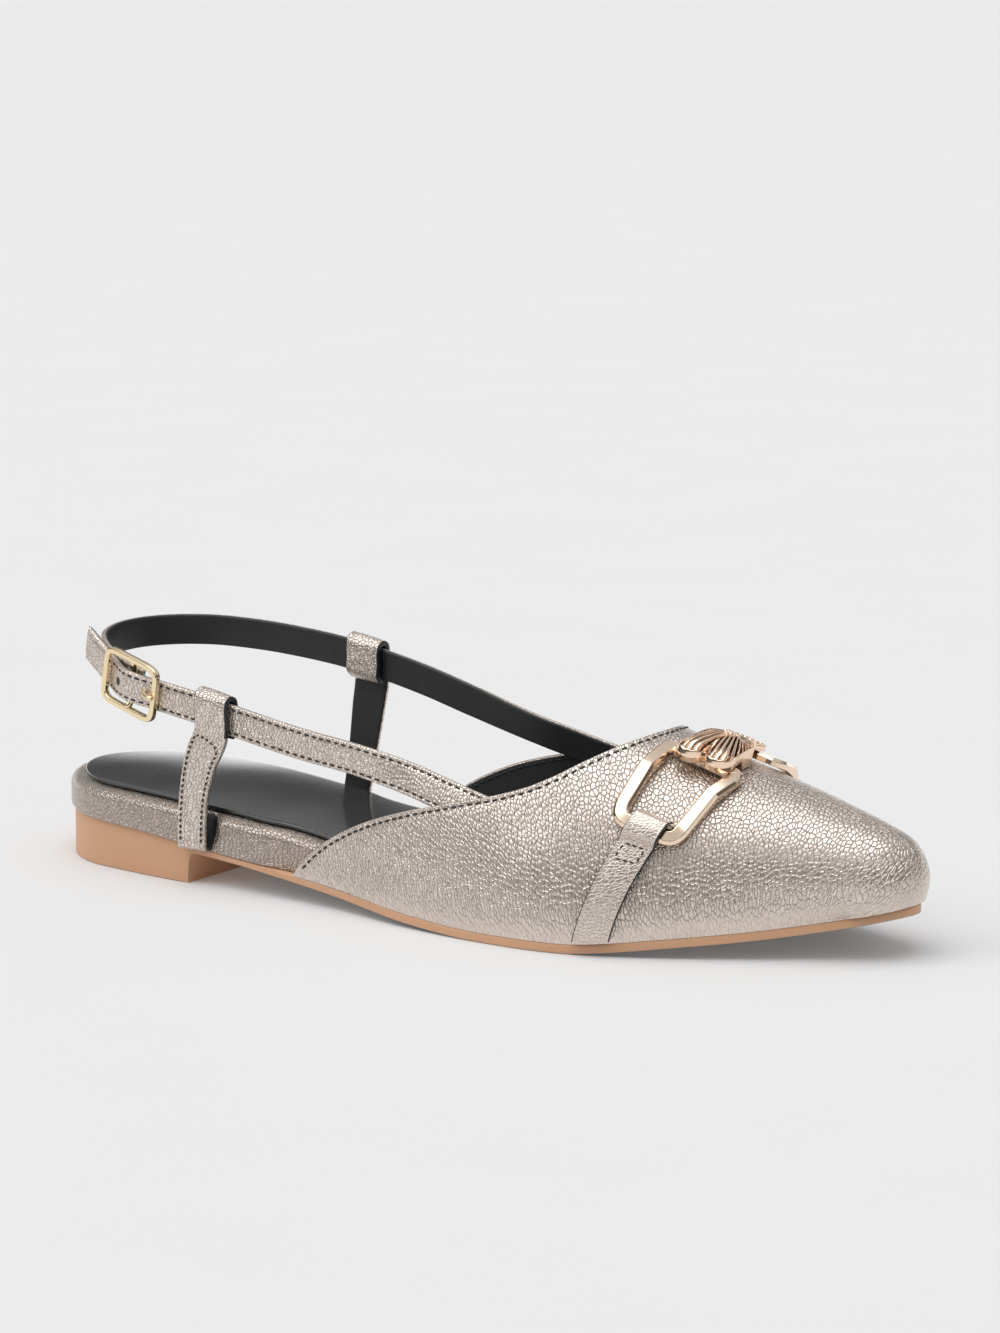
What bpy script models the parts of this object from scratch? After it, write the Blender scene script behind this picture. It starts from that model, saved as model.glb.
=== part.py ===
"""A right-foot slingback flat with a pointed closed toe and a bit ornament, as separate named solids.

Sizes are millimetres in the frame of the last: x runs from the heel back to the toe, y to the inner side of
the foot and z up from the floor. The finished solids are moved so that the whole shoe stands on the origin.
"""

from collections import namedtuple
from math import radians

import bmesh
import bpy
import numpy as np

MM = 0.001

# Driving sizes
LENGTH = 257.0
HEEL_ROUND = 26.0
TOE_ROUND = 12.0
SEAT_GAP = 0.3
SMOOTH_ANGLE = radians(40)

# Sole and heel
SOLE_THICKNESS = 2.5
SOLE_EDGE_ROUND = 0.35
HEEL_BREAST_X = 56.5
HEEL_BREAST_RUN = 2.6
HEEL_INSET = 1.2
HEEL_INSET_END = 84.0

# Footbed and insole
BAND_HEIGHT = 9.1
BAND_INSET = 0.2
BAND_SHOULDER = 3.0
BAND_FOOT_ROUND = 1.0
BOARD_HEIGHT = 4.6
BOARD_TAPER = (102.0, 150.0)
INSOLE_INSET = 4.0
INSOLE_INSET_IN_TOE = 1.0
INSOLE_THICKNESS = 1.7
INSOLE_EDGE_ROUND = 0.6
INSOLE_CROWN = 0.5

# Upper
WALL = 1.7
WING_END = 92.6
WALL_BULGE = 0.03
BULGE_HEIGHT = 0.28
COLLAR_BEAD = 0.5
UPPER_ROWS = 33
UPPER_COLUMNS = 27

# Straps and stays
STRAP_WIDTH = 8.4
STRAP_THICKNESS = 1.8
BUCKLE_STRAP_THICKNESS = 1.6
STAY_THICKNESS = 1.6
STAY_BASE_WIDTH = 9.0
STAY_TOP_WIDTH = 10.8
STAY_TAIL = 2.6
STAY_SLACK = 0.15
LINING_SLACK = 0.2
LINING_STEPS = 6

# Buckle, as a rounded frame with a centre bar and one prong
BUCKLE_CENTRE = np.array([37.9, -28.3, 51.6])
BUCKLE_AXIS = np.array([-20.8, 4.7, 4.2])
BUCKLE_HALF_LENGTH = 10.3
BUCKLE_HALF_HEIGHT = 7.0
BUCKLE_WIRE = 0.95
BUCKLE_SQUARENESS = 4.0
BAR_WIRE = 0.9
BAR_DROP = 0.82
PRONG_WIRE = 0.5

# Bit ornament
TAB_THICKNESS = 1.2
LINK_BAR_WIDTH = 4.2
LINK_BAR_HEIGHT = 2.3
LINK_SEAT = 0.5
LINK_SQUARENESS = 6.0
ROSETTE_X = 203.5
ROSETTE_HALF_LENGTH = 7.4
ROSETTE_HALF_ARC = 0.115
ROSETTE_EDGE = 1.5
ROSETTE_DOME = 1.9
ROSETTE_RIB = 0.35
ROSETTE_ROWS = 13
ROSETTE_COLUMNS = 15

OutlineRow = namedtuple("OutlineRow", "share lateral medial swing")
OUTLINE = (
    OutlineRow(0.00, 23.2, 23.2, 0.0),
    OutlineRow(0.10, 26.6, 27.4, 0.0),
    OutlineRow(0.20, 29.3, 26.6, 0.0),
    OutlineRow(0.30, 28.9, 24.6, 0.0),
    OutlineRow(0.42, 31.5, 24.2, 0.0),
    OutlineRow(0.52, 36.8, 27.5, 0.1),
    OutlineRow(0.62, 39.8, 33.0, 1.0),
    OutlineRow(0.69, 39.9, 36.0, 2.1),
    OutlineRow(0.77, 34.8, 34.5, 3.9),
    OutlineRow(0.85, 26.0, 28.0, 6.0),
    OutlineRow(0.93, 15.6, 18.5, 8.2),
    OutlineRow(1.00, 7.7, 8.9, 10.0),
)

# The sole's underside as waist, flat tread under the ball and toe spring, and how thick its edge is
ProfileRow = namedtuple("ProfileRow", "share height thickness")
SOLE_PROFILE = (
    ProfileRow(0.00, 10.5, 3.4),
    ProfileRow(0.08, 9.6, 3.3),
    ProfileRow(0.19, 8.9, 2.4),
    ProfileRow(0.28, 7.1, 1.6),
    ProfileRow(0.40, 4.0, 2.1),
    ProfileRow(0.52, 1.1, SOLE_THICKNESS),
    ProfileRow(0.61, 0.0, SOLE_THICKNESS),
    ProfileRow(0.66, 0.0, SOLE_THICKNESS),
    ProfileRow(0.71, 0.0, SOLE_THICKNESS),
    ProfileRow(0.80, 2.5, SOLE_THICKNESS),
    ProfileRow(0.90, 6.0, SOLE_THICKNESS),
    ProfileRow(1.00, 11.2, SOLE_THICKNESS),
)

# Sections of the upper: where each one stands on the sole, its ridge point and how full its arc is.
# Behind the throat the ridge is only a guide for the side walls. Towards the toe the sections lean forward
# until the last one lies along the sole's edge round the tip.
StationRow = namedtuple("StationRow", "foot_x ridge_x ridge_z fullness")
STATIONS = (
    StationRow(75.0, 75.0, 105.5, 2.10),
    StationRow(100.0, 100.0, 93.4, 2.10),
    StationRow(125.0, 125.0, 81.0, 2.10),
    StationRow(150.0, 150.0, 68.4, 2.10),
    StationRow(172.0, 172.0, 57.8, 2.10),
    StationRow(193.0, 194.0, 48.8, 2.13),
    StationRow(211.0, 214.0, 42.7, 2.18),
    StationRow(225.0, 232.0, 37.4, 2.20),
    StationRow(234.5, 245.6, 33.0, 2.20),
    StationRow(240.5, 253.8, 29.2, 2.16),
    StationRow(243.5, 257.9, 21.8, 2.08),
    StationRow(245.0, 257.0, 14.0, 2.00),
)

# Collar line: share of the arc from the sole's edge up, and where the upper starts there on each side
CollarRow = namedtuple("CollarRow", "arc lateral medial")
COLLAR = (
    CollarRow(0.00, WING_END, WING_END),
    CollarRow(0.03, 101.5, 100.0),
    CollarRow(0.065, 114.5, 110.5),
    CollarRow(0.10, 129.0, 122.5),
    CollarRow(0.14, 145.0, 138.0),
    CollarRow(0.18, 158.3, 153.0),
    CollarRow(0.21, 165.8, 161.8),
    CollarRow(0.25, 172.5, 170.0),
    CollarRow(0.30, 177.9, 176.4),
    CollarRow(0.37, 183.2, 182.5),
    CollarRow(0.43, 186.2, 185.9),
    CollarRow(0.50, 187.5, 187.5),
)

# Middle lines of the straps. Lining rows give the two ends of the run on the inside of the upper, as x and height.
LiningRow = namedtuple("LiningRow", "x z")
PathRow = namedtuple("PathRow", "x y z")
SLING_LINING = (LiningRow(165.0, 33.8), LiningRow(137.0, 41.4))
SLING_PATH = (
    PathRow(110.0, 26.4, 46.6),
    PathRow(96.0, 26.4, 50.2),
    PathRow(82.0, 26.4, 53.1),
    PathRow(70.0, 26.3, 55.1),
    PathRow(55.0, 25.9, 56.6),
    PathRow(40.0, 24.7, 57.5),
    PathRow(26.5, 21.0, 58.0),
    PathRow(17.5, 13.8, 58.1),
    PathRow(13.2, 5.5, 58.0),
    PathRow(12.6, -3.5, 57.6),
    PathRow(15.6, -11.5, 56.8),
    PathRow(21.4, -17.6, 55.5),
)
BUCKLE_LINING = (LiningRow(165.0, 30.6), LiningRow(132.0, 37.4))
BUCKLE_STRAP_PATH = (
    PathRow(115.0, -29.5, 40.0),
    PathRow(95.0, -29.0, 42.2),
    PathRow(75.0, -28.7, 45.3),
    PathRow(61.0, -28.4, 47.7),
)
BUCKLE_STRAP_TIP = PathRow(17.0, -19.9, 59.4)

# Where things lie in the buckle: distance along its axis from the centre bar, and out from the frame's plane
LayerRow = namedtuple("LayerRow", "along out")
SLING_LAYERS = (LayerRow(10.3, -3.96), LayerRow(0.0, -2.95), LayerRow(-1.2, -2.9))
BUCKLE_STRAP_LAYERS = (LayerRow(-10.3, -2.1), LayerRow(0.0, 1.2), LayerRow(10.3, -2.0))
PRONG_LAYERS = (
    LayerRow(-1.7, -1.1),
    LayerRow(-3.6, -1.5),
    LayerRow(-5.0, -1.0),
    LayerRow(-6.2, 0.4),
    LayerRow(-7.4, 1.35),
    LayerRow(-9.0, 1.75),
    LayerRow(-10.5, 1.85),
    LayerRow(-11.6, 1.75),
)
PRONG_HOLE_SPAN = (-4.4, -7.6)

# Stays: side of the shoe, where each stands and meets its strap, and how late its forward lean comes in
StayRow = namedtuple("StayRow", "side base_x top_x lateness")
STAY_LATERAL = StayRow(-1, 59.7, 66.8, 2.6)
STAY_MEDIAL = StayRow(1, 70.5, 76.0, 0.8)

# Bit tab: its middle line up the side of the upper, half its width, and how far it lifts over the link's bar
TabRow = namedtuple("TabRow", "arc x half_width lift")
TAB = (
    TabRow(0.004, 189.9, 4.9, 0.0),
    TabRow(0.05, 192.2, 4.8, 0.0),
    TabRow(0.10, 194.6, 4.7, 0.0),
    TabRow(0.15, 197.0, 4.6, 0.0),
    TabRow(0.170, 197.9, 4.5, 0.1),
    TabRow(0.185, 198.6, 4.4, 2.8),
    TabRow(0.208, 199.5, 4.3, 3.1),
    TabRow(0.231, 200.3, 4.3, 2.8),
    TabRow(0.243, 200.7, 4.3, 0.1),
)
TAB_ROWS = 22
TAB_COLUMNS = 4

# Corners of a bit link's middle line on the side of the upper
LinkRow = namedtuple("LinkRow", "x arc")
LINK_LOWER_REAR = LinkRow(191.6, 0.222)
LINK_LOWER_FRONT = LinkRow(207.2, 0.196)
LINK_UPPER_FRONT = LinkRow(213.0, 0.420)
LINK_UPPER_REAR = LinkRow(193.4, 0.433)

Finish = namedtuple("Finish", "red green blue roughness metallic")
TAN_SOLE = Finish(0.60, 0.33, 0.20, 0.55, 0.0)
PEWTER_LEATHER = Finish(0.36, 0.33, 0.30, 0.42, 0.6)
BLACK_SOCK = Finish(0.02, 0.02, 0.02, 0.35, 0.0)
PALE_GOLD = Finish(0.86, 0.70, 0.46, 0.18, 1.0)
ROSE_GOLD = Finish(0.86, 0.60, 0.45, 0.20, 1.0)


# Curves and tables

def smooth(knots, values, at):
    """Smooth curve through the knots, with each slope weighted by the spans on both sides."""
    knots = np.asarray(knots, float)
    values = np.asarray(values, float)
    at = np.clip(np.asarray(at, float), knots[0], knots[-1])
    spans = np.diff(knots)
    rises = np.diff(values) / spans
    slopes = np.empty_like(values)
    slopes[1:-1] = (rises[:-1] * spans[1:] + rises[1:] * spans[:-1]) / (spans[:-1] + spans[1:])
    slopes[0] = 1.5 * rises[0] - 0.5 * slopes[1]
    slopes[-1] = 1.5 * rises[-1] - 0.5 * slopes[-2]
    left = np.clip(np.searchsorted(knots, at, side="right") - 1, 0, len(knots) - 2)
    t = (at - knots[left]) / spans[left]
    return (
        (1 + 2 * t) * (1 - t) ** 2 * values[left]
        + t * (1 - t) ** 2 * spans[left] * slopes[left]
        + t * t * (3 - 2 * t) * values[left + 1]
        + t * t * (t - 1) * spans[left] * slopes[left + 1]
    )


def column(rows, name):
    return np.array([getattr(row, name) for row in rows], float)


def along(rows, key, name, at):
    return smooth(column(rows, key), column(rows, name), at)


def ease(start, end, at):
    t = np.clip((np.asarray(at, float) - start) / (end - start), 0, 1)
    return t * t * (3 - 2 * t)


def unit(vectors):
    return vectors / np.linalg.norm(vectors, axis=-1, keepdims=True)


def signed_power(base, power):
    return np.sign(base) * np.abs(base) ** power


# Meshes from rings and grids of points

def ring_faces(rings, size, closed=False):
    """Quads between neighbouring rings of the same size."""
    last = rings if closed else rings - 1
    faces = []
    for i in range(last):
        here = i * size
        there = ((i + 1) % rings) * size
        for j in range(size):
            k = (j + 1) % size
            faces.append((here + j, here + k, there + k, there + j))
    return faces


def slab(rings):
    """Closed slab from outline rings, bottom first, each cap laid in strips from side to side."""
    size = len(rings[0])
    pairs = size // 2 - 1
    faces = ring_faces(len(rings), size)
    for base in (0, (len(rings) - 1) * size):
        faces.append((base, base + 1, base + size - 1))
        for i in range(1, pairs):
            faces.append((base + i, base + i + 1, base + size - i - 1, base + size - i))
        faces.append((base + pairs, base + pairs + 1, base + pairs + 2))
    return np.concatenate(rings), faces


def tube(rings, closed=False):
    """Solid swept through rings, closed on itself or with flat ends."""
    size = len(rings[0])
    faces = ring_faces(len(rings), size, closed)
    if not closed:
        faces.append(tuple(range(size)))
        faces.append(tuple(range((len(rings) - 1) * size, len(rings) * size)))
    return np.concatenate(rings), faces


def sheet(outer, inner, bead=0.0):
    """Solid between two grids. The first row's edge is rolled forward by the bead."""
    rows, columns = outer.shape[:2]
    roll = (outer[0] + inner[0]) / 2 + bead * unit(outer[0] - outer[1])
    points = np.concatenate([outer.reshape(-1, 3), inner.reshape(-1, 3), roll])
    back = rows * columns
    rim = 2 * back
    faces = []
    for i in range(rows - 1):
        for j in range(columns - 1):
            a = i * columns + j
            quad = (a, a + 1, a + columns + 1, a + columns)
            faces.append(quad)
            faces.append(tuple(back + k for k in quad))
        for edge in (i * columns, i * columns + columns - 1):
            faces.append((edge, edge + columns, back + edge + columns, back + edge))
    for j in range(columns - 1):
        faces.append((j, j + 1, rim + j + 1, rim + j))
        faces.append((rim + j, rim + j + 1, back + j + 1, back + j))
        end = (rows - 1) * columns + j
        faces.append((end, end + 1, back + end + 1, back + end))
    faces.append((0, rim, back))
    faces.append((columns - 1, rim + columns - 1, back + columns - 1))
    return points, faces


def ribbon(centres, across, widths, thickness):
    """Flat strap along its middle line, its width laid along the given directions, its edges rounded."""
    forward = unit(np.gradient(centres, axis=0))
    across = unit(across - np.sum(across * forward, axis=1, keepdims=True) * forward)
    out = np.cross(forward, across)
    half = thickness / 2
    flat = half * 0.45
    rings = []
    for centre, side, face, width in zip(centres, across, out, widths):
        edge = width / 2
        shoulder = edge - half * 0.55
        corners = (
            (-shoulder, -half),
            (shoulder, -half),
            (edge, -flat),
            (edge, flat),
            (shoulder, half),
            (-shoulder, half),
            (-edge, flat),
            (-edge, -flat),
        )
        rings.append(np.array([centre + a * side + b * face for a, b in corners]))
    return rings


def wire(centres, across, radius, sides=8, closed=False):
    """Round wire along its middle line."""
    if closed:
        forward = unit(np.roll(centres, -1, axis=0) - np.roll(centres, 1, axis=0))
    else:
        forward = unit(np.gradient(centres, axis=0))
    across = unit(across - np.sum(across * forward, axis=1, keepdims=True) * forward)
    out = np.cross(forward, across)
    turns = np.arange(sides) * 2 * np.pi / sides
    spokes = np.cos(turns)[None, :, None] * across[:, None] + np.sin(turns)[None, :, None] * out[:, None]
    return list(centres[:, None] + np.reshape(radius, (-1, 1, 1)) * spokes)


def path_through(knots, samples):
    """Evenly spaced points on the smooth curve through the knots, by the length of its chords."""
    steps = np.linalg.norm(np.diff(knots[:, :3], axis=0), axis=1)
    run = np.concatenate([[0.0], np.cumsum(steps)])
    at = np.linspace(0, run[-1], samples)
    return np.stack([smooth(run, knots[:, k], at) for k in range(knots.shape[1])], axis=1)


# The last's bottom

def swing(x):
    return along(OUTLINE, "share", "swing", x / LENGTH)


def underside(x):
    return np.maximum(along(SOLE_PROFILE, "share", "height", x / LENGTH), 0.0)


def sole_top(x):
    return underside(x) + along(SOLE_PROFILE, "share", "thickness", x / LENGTH)


def outline_ring(extra=(), count=44):
    """Outline seen from above: heel point, outer side to the toe, toe point, inner side back to the heel."""
    turn = np.arange(1, count + 1) * np.pi / (count + 1)
    x = np.sort(np.concatenate([LENGTH * (1 - np.cos(turn)) / 2, extra]))
    heel = np.clip(1 - x / HEEL_ROUND, 0, 1)
    toe = np.clip(1 - (LENGTH - x) / TOE_ROUND, 0, 1)
    closing = np.sqrt(1 - heel**2) * np.sqrt(1 - toe**2)
    middle = swing(x)
    lateral = middle - closing * along(OUTLINE, "share", "lateral", x / LENGTH)
    medial = middle + closing * along(OUTLINE, "share", "medial", x / LENGTH)
    heel_point = np.array([[0.0, 0.0]])
    toe_point = np.array([[LENGTH, OUTLINE[-1].swing]])
    outer_side = np.stack([x, lateral], axis=1)
    inner_side = np.stack([x, medial], axis=1)[::-1]
    return np.concatenate([heel_point, outer_side, toe_point, inner_side])


def drawn_in(ring, amount):
    """Outline moved inwards by an amount that may change along it."""
    tangent = unit(np.roll(ring, -1, axis=0) - np.roll(ring, 1, axis=0))
    inward = np.stack([-tangent[:, 1], tangent[:, 0]], axis=1)
    return ring + inward * np.reshape(amount, (-1, 1))


def raised(ring, height):
    return np.concatenate([ring, np.reshape(height, (-1, 1)) * np.ones((len(ring), 1))], axis=1)


def build_outsole():
    """Moulded sole with its block heel: the underside drops to the floor behind the breast."""
    breast = HEEL_BREAST_X + HEEL_BREAST_RUN * np.array([0.0, 0.12, 0.4, 1.0])
    full = outline_ring(extra=breast)
    x = full[:, 0]
    outline = drawn_in(full, HEEL_INSET * (1 - ease(HEEL_BREAST_X, HEEL_INSET_END, x)))
    inner = drawn_in(outline, SOLE_EDGE_ROUND)
    ahead = np.clip((x - HEEL_BREAST_X) / HEEL_BREAST_RUN, 0, 1)
    under = underside(x) * np.sqrt(1 - (1 - ahead) ** 4)
    return slab([
        raised(inner, under),
        raised(outline, under + SOLE_EDGE_ROUND),
        raised(outline, sole_top(x)),
    ])


def band_inset(x):
    """How far the footbed stands in from the outline: flush at the heel, inside the upper in front."""
    tucked = WALL + SEAT_GAP + BAND_INSET
    return BAND_INSET + (tucked - BAND_INSET) * ease(WING_END - 14, WING_END - 2, x)


def band_top(x):
    thick = BAND_HEIGHT + (BOARD_HEIGHT - BAND_HEIGHT) * ease(*BOARD_TAPER, x)
    return underside(x) + SOLE_THICKNESS + SEAT_GAP + thick


def build_footbed():
    """Wrapped footbed: a padded band round the heel that thins to a board inside the upper."""
    outline = outline_ring()
    inset = band_inset(outline[:, 0])
    rings = []
    for turn in (0.0, 0.5, 1.0):
        angle = turn * np.pi / 2
        ring = drawn_in(outline, inset + BAND_FOOT_ROUND * (1 - np.sin(angle)))
        rings.append(raised(ring, sole_top(ring[:, 0]) + SEAT_GAP + BAND_FOOT_ROUND * (1 - np.cos(angle))))
    for turn in (0.0, 0.35, 0.68, 1.0):
        angle = turn * np.pi / 2
        ring = drawn_in(outline, inset + BAND_SHOULDER * (1 - np.cos(angle)))
        rings.append(raised(ring, band_top(ring[:, 0]) - BAND_SHOULDER * (1 - np.sin(angle))))
    return slab(rings)


def build_insole():
    """Padded sock on top of the footbed, with a soft edge and a low crown."""
    outline = outline_ring()
    x = outline[:, 0]
    inset = band_inset(x) + INSOLE_INSET + (INSOLE_INSET_IN_TOE - INSOLE_INSET) * ease(WING_END, BOARD_TAPER[1], x)
    rims = (
        (INSOLE_EDGE_ROUND, 0.0),
        (0.0, INSOLE_EDGE_ROUND),
        (0.0, INSOLE_THICKNESS - INSOLE_EDGE_ROUND),
        (INSOLE_EDGE_ROUND, INSOLE_THICKNESS - INSOLE_EDGE_ROUND / 3),
        (3 * INSOLE_EDGE_ROUND, INSOLE_THICKNESS),
        (8 * INSOLE_EDGE_ROUND, INSOLE_THICKNESS + INSOLE_CROWN),
    )
    rings = []
    for further, height in rims:
        ring = drawn_in(outline, inset + further)
        rings.append(raised(ring, band_top(ring[:, 0]) + SEAT_GAP + height))
    return slab(rings)


# The upper's surface

STATION_SHARE = np.linspace(0, 1, len(STATIONS))


def station_of(x):
    return np.interp(x, column(STATIONS, "ridge_x")[:-1], STATION_SHARE[:-1])


def upper_point(station, arc):
    """Outside of the upper: station runs from the waist to the toe, arc from the outer side's edge to the inner's."""
    station, arc = np.broadcast_arrays(station, arc)
    foot_x, ridge_x, ridge_z, fullness = (
        smooth(STATION_SHARE, column(STATIONS, name), station) for name in StationRow._fields
    )
    share = foot_x / LENGTH
    seat = sole_top(foot_x) + SEAT_GAP
    lateral = swing(foot_x) - along(OUTLINE, "share", "lateral", share)
    medial = swing(foot_x) + along(OUTLINE, "share", "medial", share)
    middle = np.stack([foot_x, (lateral + medial) / 2, seat], axis=-1)
    half = np.stack([np.zeros_like(seat), (medial - lateral) / 2, np.zeros_like(seat)], axis=-1)
    ridge = np.stack([ridge_x, swing(np.minimum(ridge_x, LENGTH)), ridge_z], axis=-1)
    turn = np.pi * (1 - arc)
    sideways = signed_power(np.cos(turn), 2 / fullness)
    height = np.abs(np.sin(turn)) ** (2 / fullness)
    low = height / BULGE_HEIGHT
    bulge = 1 + WALL_BULGE * np.clip((1 - station) / 0.15, 0, 1) * low * np.exp(1 - low)
    return middle + (sideways * bulge)[..., None] * half + height[..., None] * (ridge - middle)


def upper_normal(station, arc):
    """Outward direction of the upper. At the rims, where the grid's lines run together, it is read just inside."""
    step = 0.004
    station = np.clip(station, step, 0.965)
    arc = np.clip(arc, 2 * step, 1 - 2 * step)
    run = upper_point(station + step, arc) - upper_point(station - step, arc)
    rise = upper_point(station, arc + step) - upper_point(station, arc - step)
    return unit(np.cross(run, rise))


def build_upper():
    """Hollow vamp: open at the collar and along the sole's edge, its wall worked out along the outward direction."""
    even = np.linspace(0, 1, UPPER_COLUMNS)
    arc = 0.3 * even + 0.35 * (1 - np.cos(np.pi * even))
    lateral = along(COLLAR, "arc", "lateral", np.minimum(arc, 0.5))
    medial = along(COLLAR, "arc", "medial", np.minimum(1 - arc, 0.5))
    start = station_of(np.where(arc < 0.5, lateral, medial))
    station = start + (1 - start) * np.linspace(0, 1, UPPER_ROWS)[:, None]
    arc = np.broadcast_to(arc, station.shape)
    outer = upper_point(station, arc)
    inner = outer - WALL * upper_normal(station, arc)
    for rim in (np.s_[:, 0], np.s_[:, -1], np.s_[-1, :]):
        seat = sole_top(np.minimum(outer[rim][:, 0], LENGTH)) + SEAT_GAP
        outer[rim][:, 2] = seat
        inner[rim][:, 2] = seat
    return sheet(outer, inner, COLLAR_BEAD)


# Straps and stays

def lining_knots(rows, side, depth):
    """Points on the inside of the upper at the given x and height, and the direction up the wall there."""
    first, last = rows
    knots = []
    for share in np.linspace(0, 1, LINING_STEPS):
        station = station_of(first.x + share * (last.x - first.x))
        height = first.z + share * (last.z - first.z)
        low, high = 0.0, 0.5
        for _ in range(30):
            half = (low + high) / 2
            if upper_point(station, half)[2] < height:
                low = half
            else:
                high = half
        arc = low if side < 0 else 1 - low
        up = unit(upper_point(station, arc - 0.02 * side) - upper_point(station, arc))
        point = upper_point(station, arc) - depth * upper_normal(station, arc)
        knots.append(np.concatenate([point, up]))
    return np.array(knots)


def free_knots(rows):
    """Points of a strap in the open, with its width upright."""
    return np.array([(row.x, row.y, row.z, 0.0, 0.0, 1.0) for row in rows])


def buckle_frame_axes():
    along_axis = unit(BUCKLE_AXIS)
    out_axis = unit(np.cross(along_axis, np.array([0.0, 0.0, 1.0])))
    if out_axis[1] > 0:
        out_axis = -out_axis
    up_axis = np.cross(out_axis, along_axis)
    return along_axis, up_axis * np.sign(up_axis[2]), out_axis


def buckle_knots(rows):
    """Points in the buckle's own frame, with the strap's width across the frame."""
    along_axis, up_axis, out_axis = buckle_frame_axes()
    points = [BUCKLE_CENTRE + row.along * along_axis + row.out * out_axis for row in rows]
    return np.array([np.concatenate([point, up_axis]) for point in points])


def sling_knots():
    depth = WALL + SEAT_GAP + LINING_SLACK + STRAP_THICKNESS / 2
    return np.concatenate([
        lining_knots(SLING_LINING, 1, depth),
        free_knots(SLING_PATH),
        buckle_knots(SLING_LAYERS),
    ])


def buckle_strap_knots():
    depth = WALL + SEAT_GAP + LINING_SLACK + BUCKLE_STRAP_THICKNESS / 2
    return np.concatenate([
        lining_knots(BUCKLE_LINING, -1, depth),
        free_knots(BUCKLE_STRAP_PATH),
        buckle_knots(BUCKLE_STRAP_LAYERS),
        free_knots([BUCKLE_STRAP_TIP]),
    ])


def build_strap(knots, thickness, samples):
    line = path_through(knots, samples)
    return tube(ribbon(line[:, :3], line[:, 3:], np.full(samples, STRAP_WIDTH), thickness))


def build_stay(row, knots, strap_thickness):
    """Stay that stands on the footbed's side, goes up outside the strap, folds over it and ends inside."""
    line = path_through(knots, 400)
    nearest = np.argmin(np.abs(line[:, 0] - row.top_x) + 1000 * (line[:, 1] * row.side < 0))
    strap = line[nearest, :3]
    strap_run = unit(line[nearest + 1, :3] - line[nearest - 1, :3])
    strap_run = strap_run * np.sign(strap_run[0])
    name = "lateral" if row.side < 0 else "medial"
    reach = STAY_BASE_WIDTH / 2
    rear, front = along(OUTLINE, "share", name, (row.base_x + np.array([-reach, reach])) / LENGTH)
    band = (rear + front) / 2 - BAND_INSET
    band_run = unit(np.array([2 * reach, row.side * (front - rear), 0.0]))
    leg = band + SEAT_GAP + STAY_THICKNESS / 2
    layer = strap_thickness / 2 + SEAT_GAP + STAY_SLACK + STAY_THICKNESS / 2
    crown = strap[2] + STRAP_WIDTH / 2 - strap_thickness / 2
    foot = sole_top(row.base_x) + SEAT_GAP
    below = strap[2] - STRAP_WIDTH / 2
    centres = []
    for share in (0.0, 0.25, 0.5, 0.75):
        height = foot + share * (below - foot)
        lean = share**row.lateness
        y = row.side * leg + lean * (strap[1] + row.side * layer - row.side * leg)
        centres.append((row.base_x + lean * (row.top_x - row.base_x), y, height))
    centres.append((row.top_x, strap[1] + row.side * layer, below))
    centres.append((row.top_x, strap[1] + row.side * layer, strap[2]))
    for angle in np.linspace(0, np.pi, 7):
        y = strap[1] + row.side * layer * np.cos(angle)
        centres.append((row.top_x, y, crown + layer * np.sin(angle)))
    centres.append((row.top_x, strap[1] - row.side * layer, strap[2]))
    centres.append((row.top_x, strap[1] - row.side * layer, below + STAY_THICKNESS / 2))
    centres.append((row.top_x, strap[1] - row.side * (layer - STAY_THICKNESS), below - STAY_TAIL))
    centres = np.array(centres)
    turned = ease(foot + BAND_HEIGHT, below, centres[:, 2])
    across = (1 - turned)[:, None] * band_run + turned[:, None] * strap_run
    widths = STAY_BASE_WIDTH + (STAY_TOP_WIDTH - STAY_BASE_WIDTH) * turned
    return tube(ribbon(centres, across, widths, STAY_THICKNESS))


# Buckle

def build_buckle_frame():
    along_axis, up_axis, out_axis = buckle_frame_axes()
    turn = np.arange(36) * 2 * np.pi / 36
    run = BUCKLE_HALF_LENGTH * signed_power(np.cos(turn), 2 / BUCKLE_SQUARENESS)
    rise = BUCKLE_HALF_HEIGHT * signed_power(np.sin(turn), 2 / BUCKLE_SQUARENESS)
    centres = BUCKLE_CENTRE + run[:, None] * along_axis + rise[:, None] * up_axis
    across = np.broadcast_to(out_axis, centres.shape)
    return tube(wire(centres, across, BUCKLE_WIRE, closed=True), closed=True)


def build_buckle_bar():
    """Centre bar, dropped a little behind the frame's plane."""
    along_axis, up_axis, out_axis = buckle_frame_axes()
    rise = BUCKLE_HALF_HEIGHT * np.linspace(-1, 1, 9)
    drop = BAR_DROP * (1 - ease(0.65, 0.95, np.abs(rise) / BUCKLE_HALF_HEIGHT))
    centres = BUCKLE_CENTRE + rise[:, None] * up_axis - drop[:, None] * out_axis
    across = np.broadcast_to(along_axis, centres.shape)
    return tube(wire(centres, across, BAR_WIRE))


def build_prong(radius, span=None, samples=14):
    line = path_through(buckle_knots(PRONG_LAYERS), samples)
    if span is not None:
        along_axis = buckle_frame_axes()[0]
        place = (line[:, :3] - BUCKLE_CENTRE) @ along_axis
        line = line[(place < span[0]) & (place > span[1])]
    taper = radius * np.linspace(1, 0.85, len(line))
    return tube(wire(line[:, :3], line[:, 3:], taper))


# Bit ornament, laid on the upper's own surface

def on_upper(x, arc, lift):
    station, arc, lift = np.broadcast_arrays(station_of(x), arc, lift)
    return upper_point(station, arc) + lift[..., None] * upper_normal(station, arc)


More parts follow.
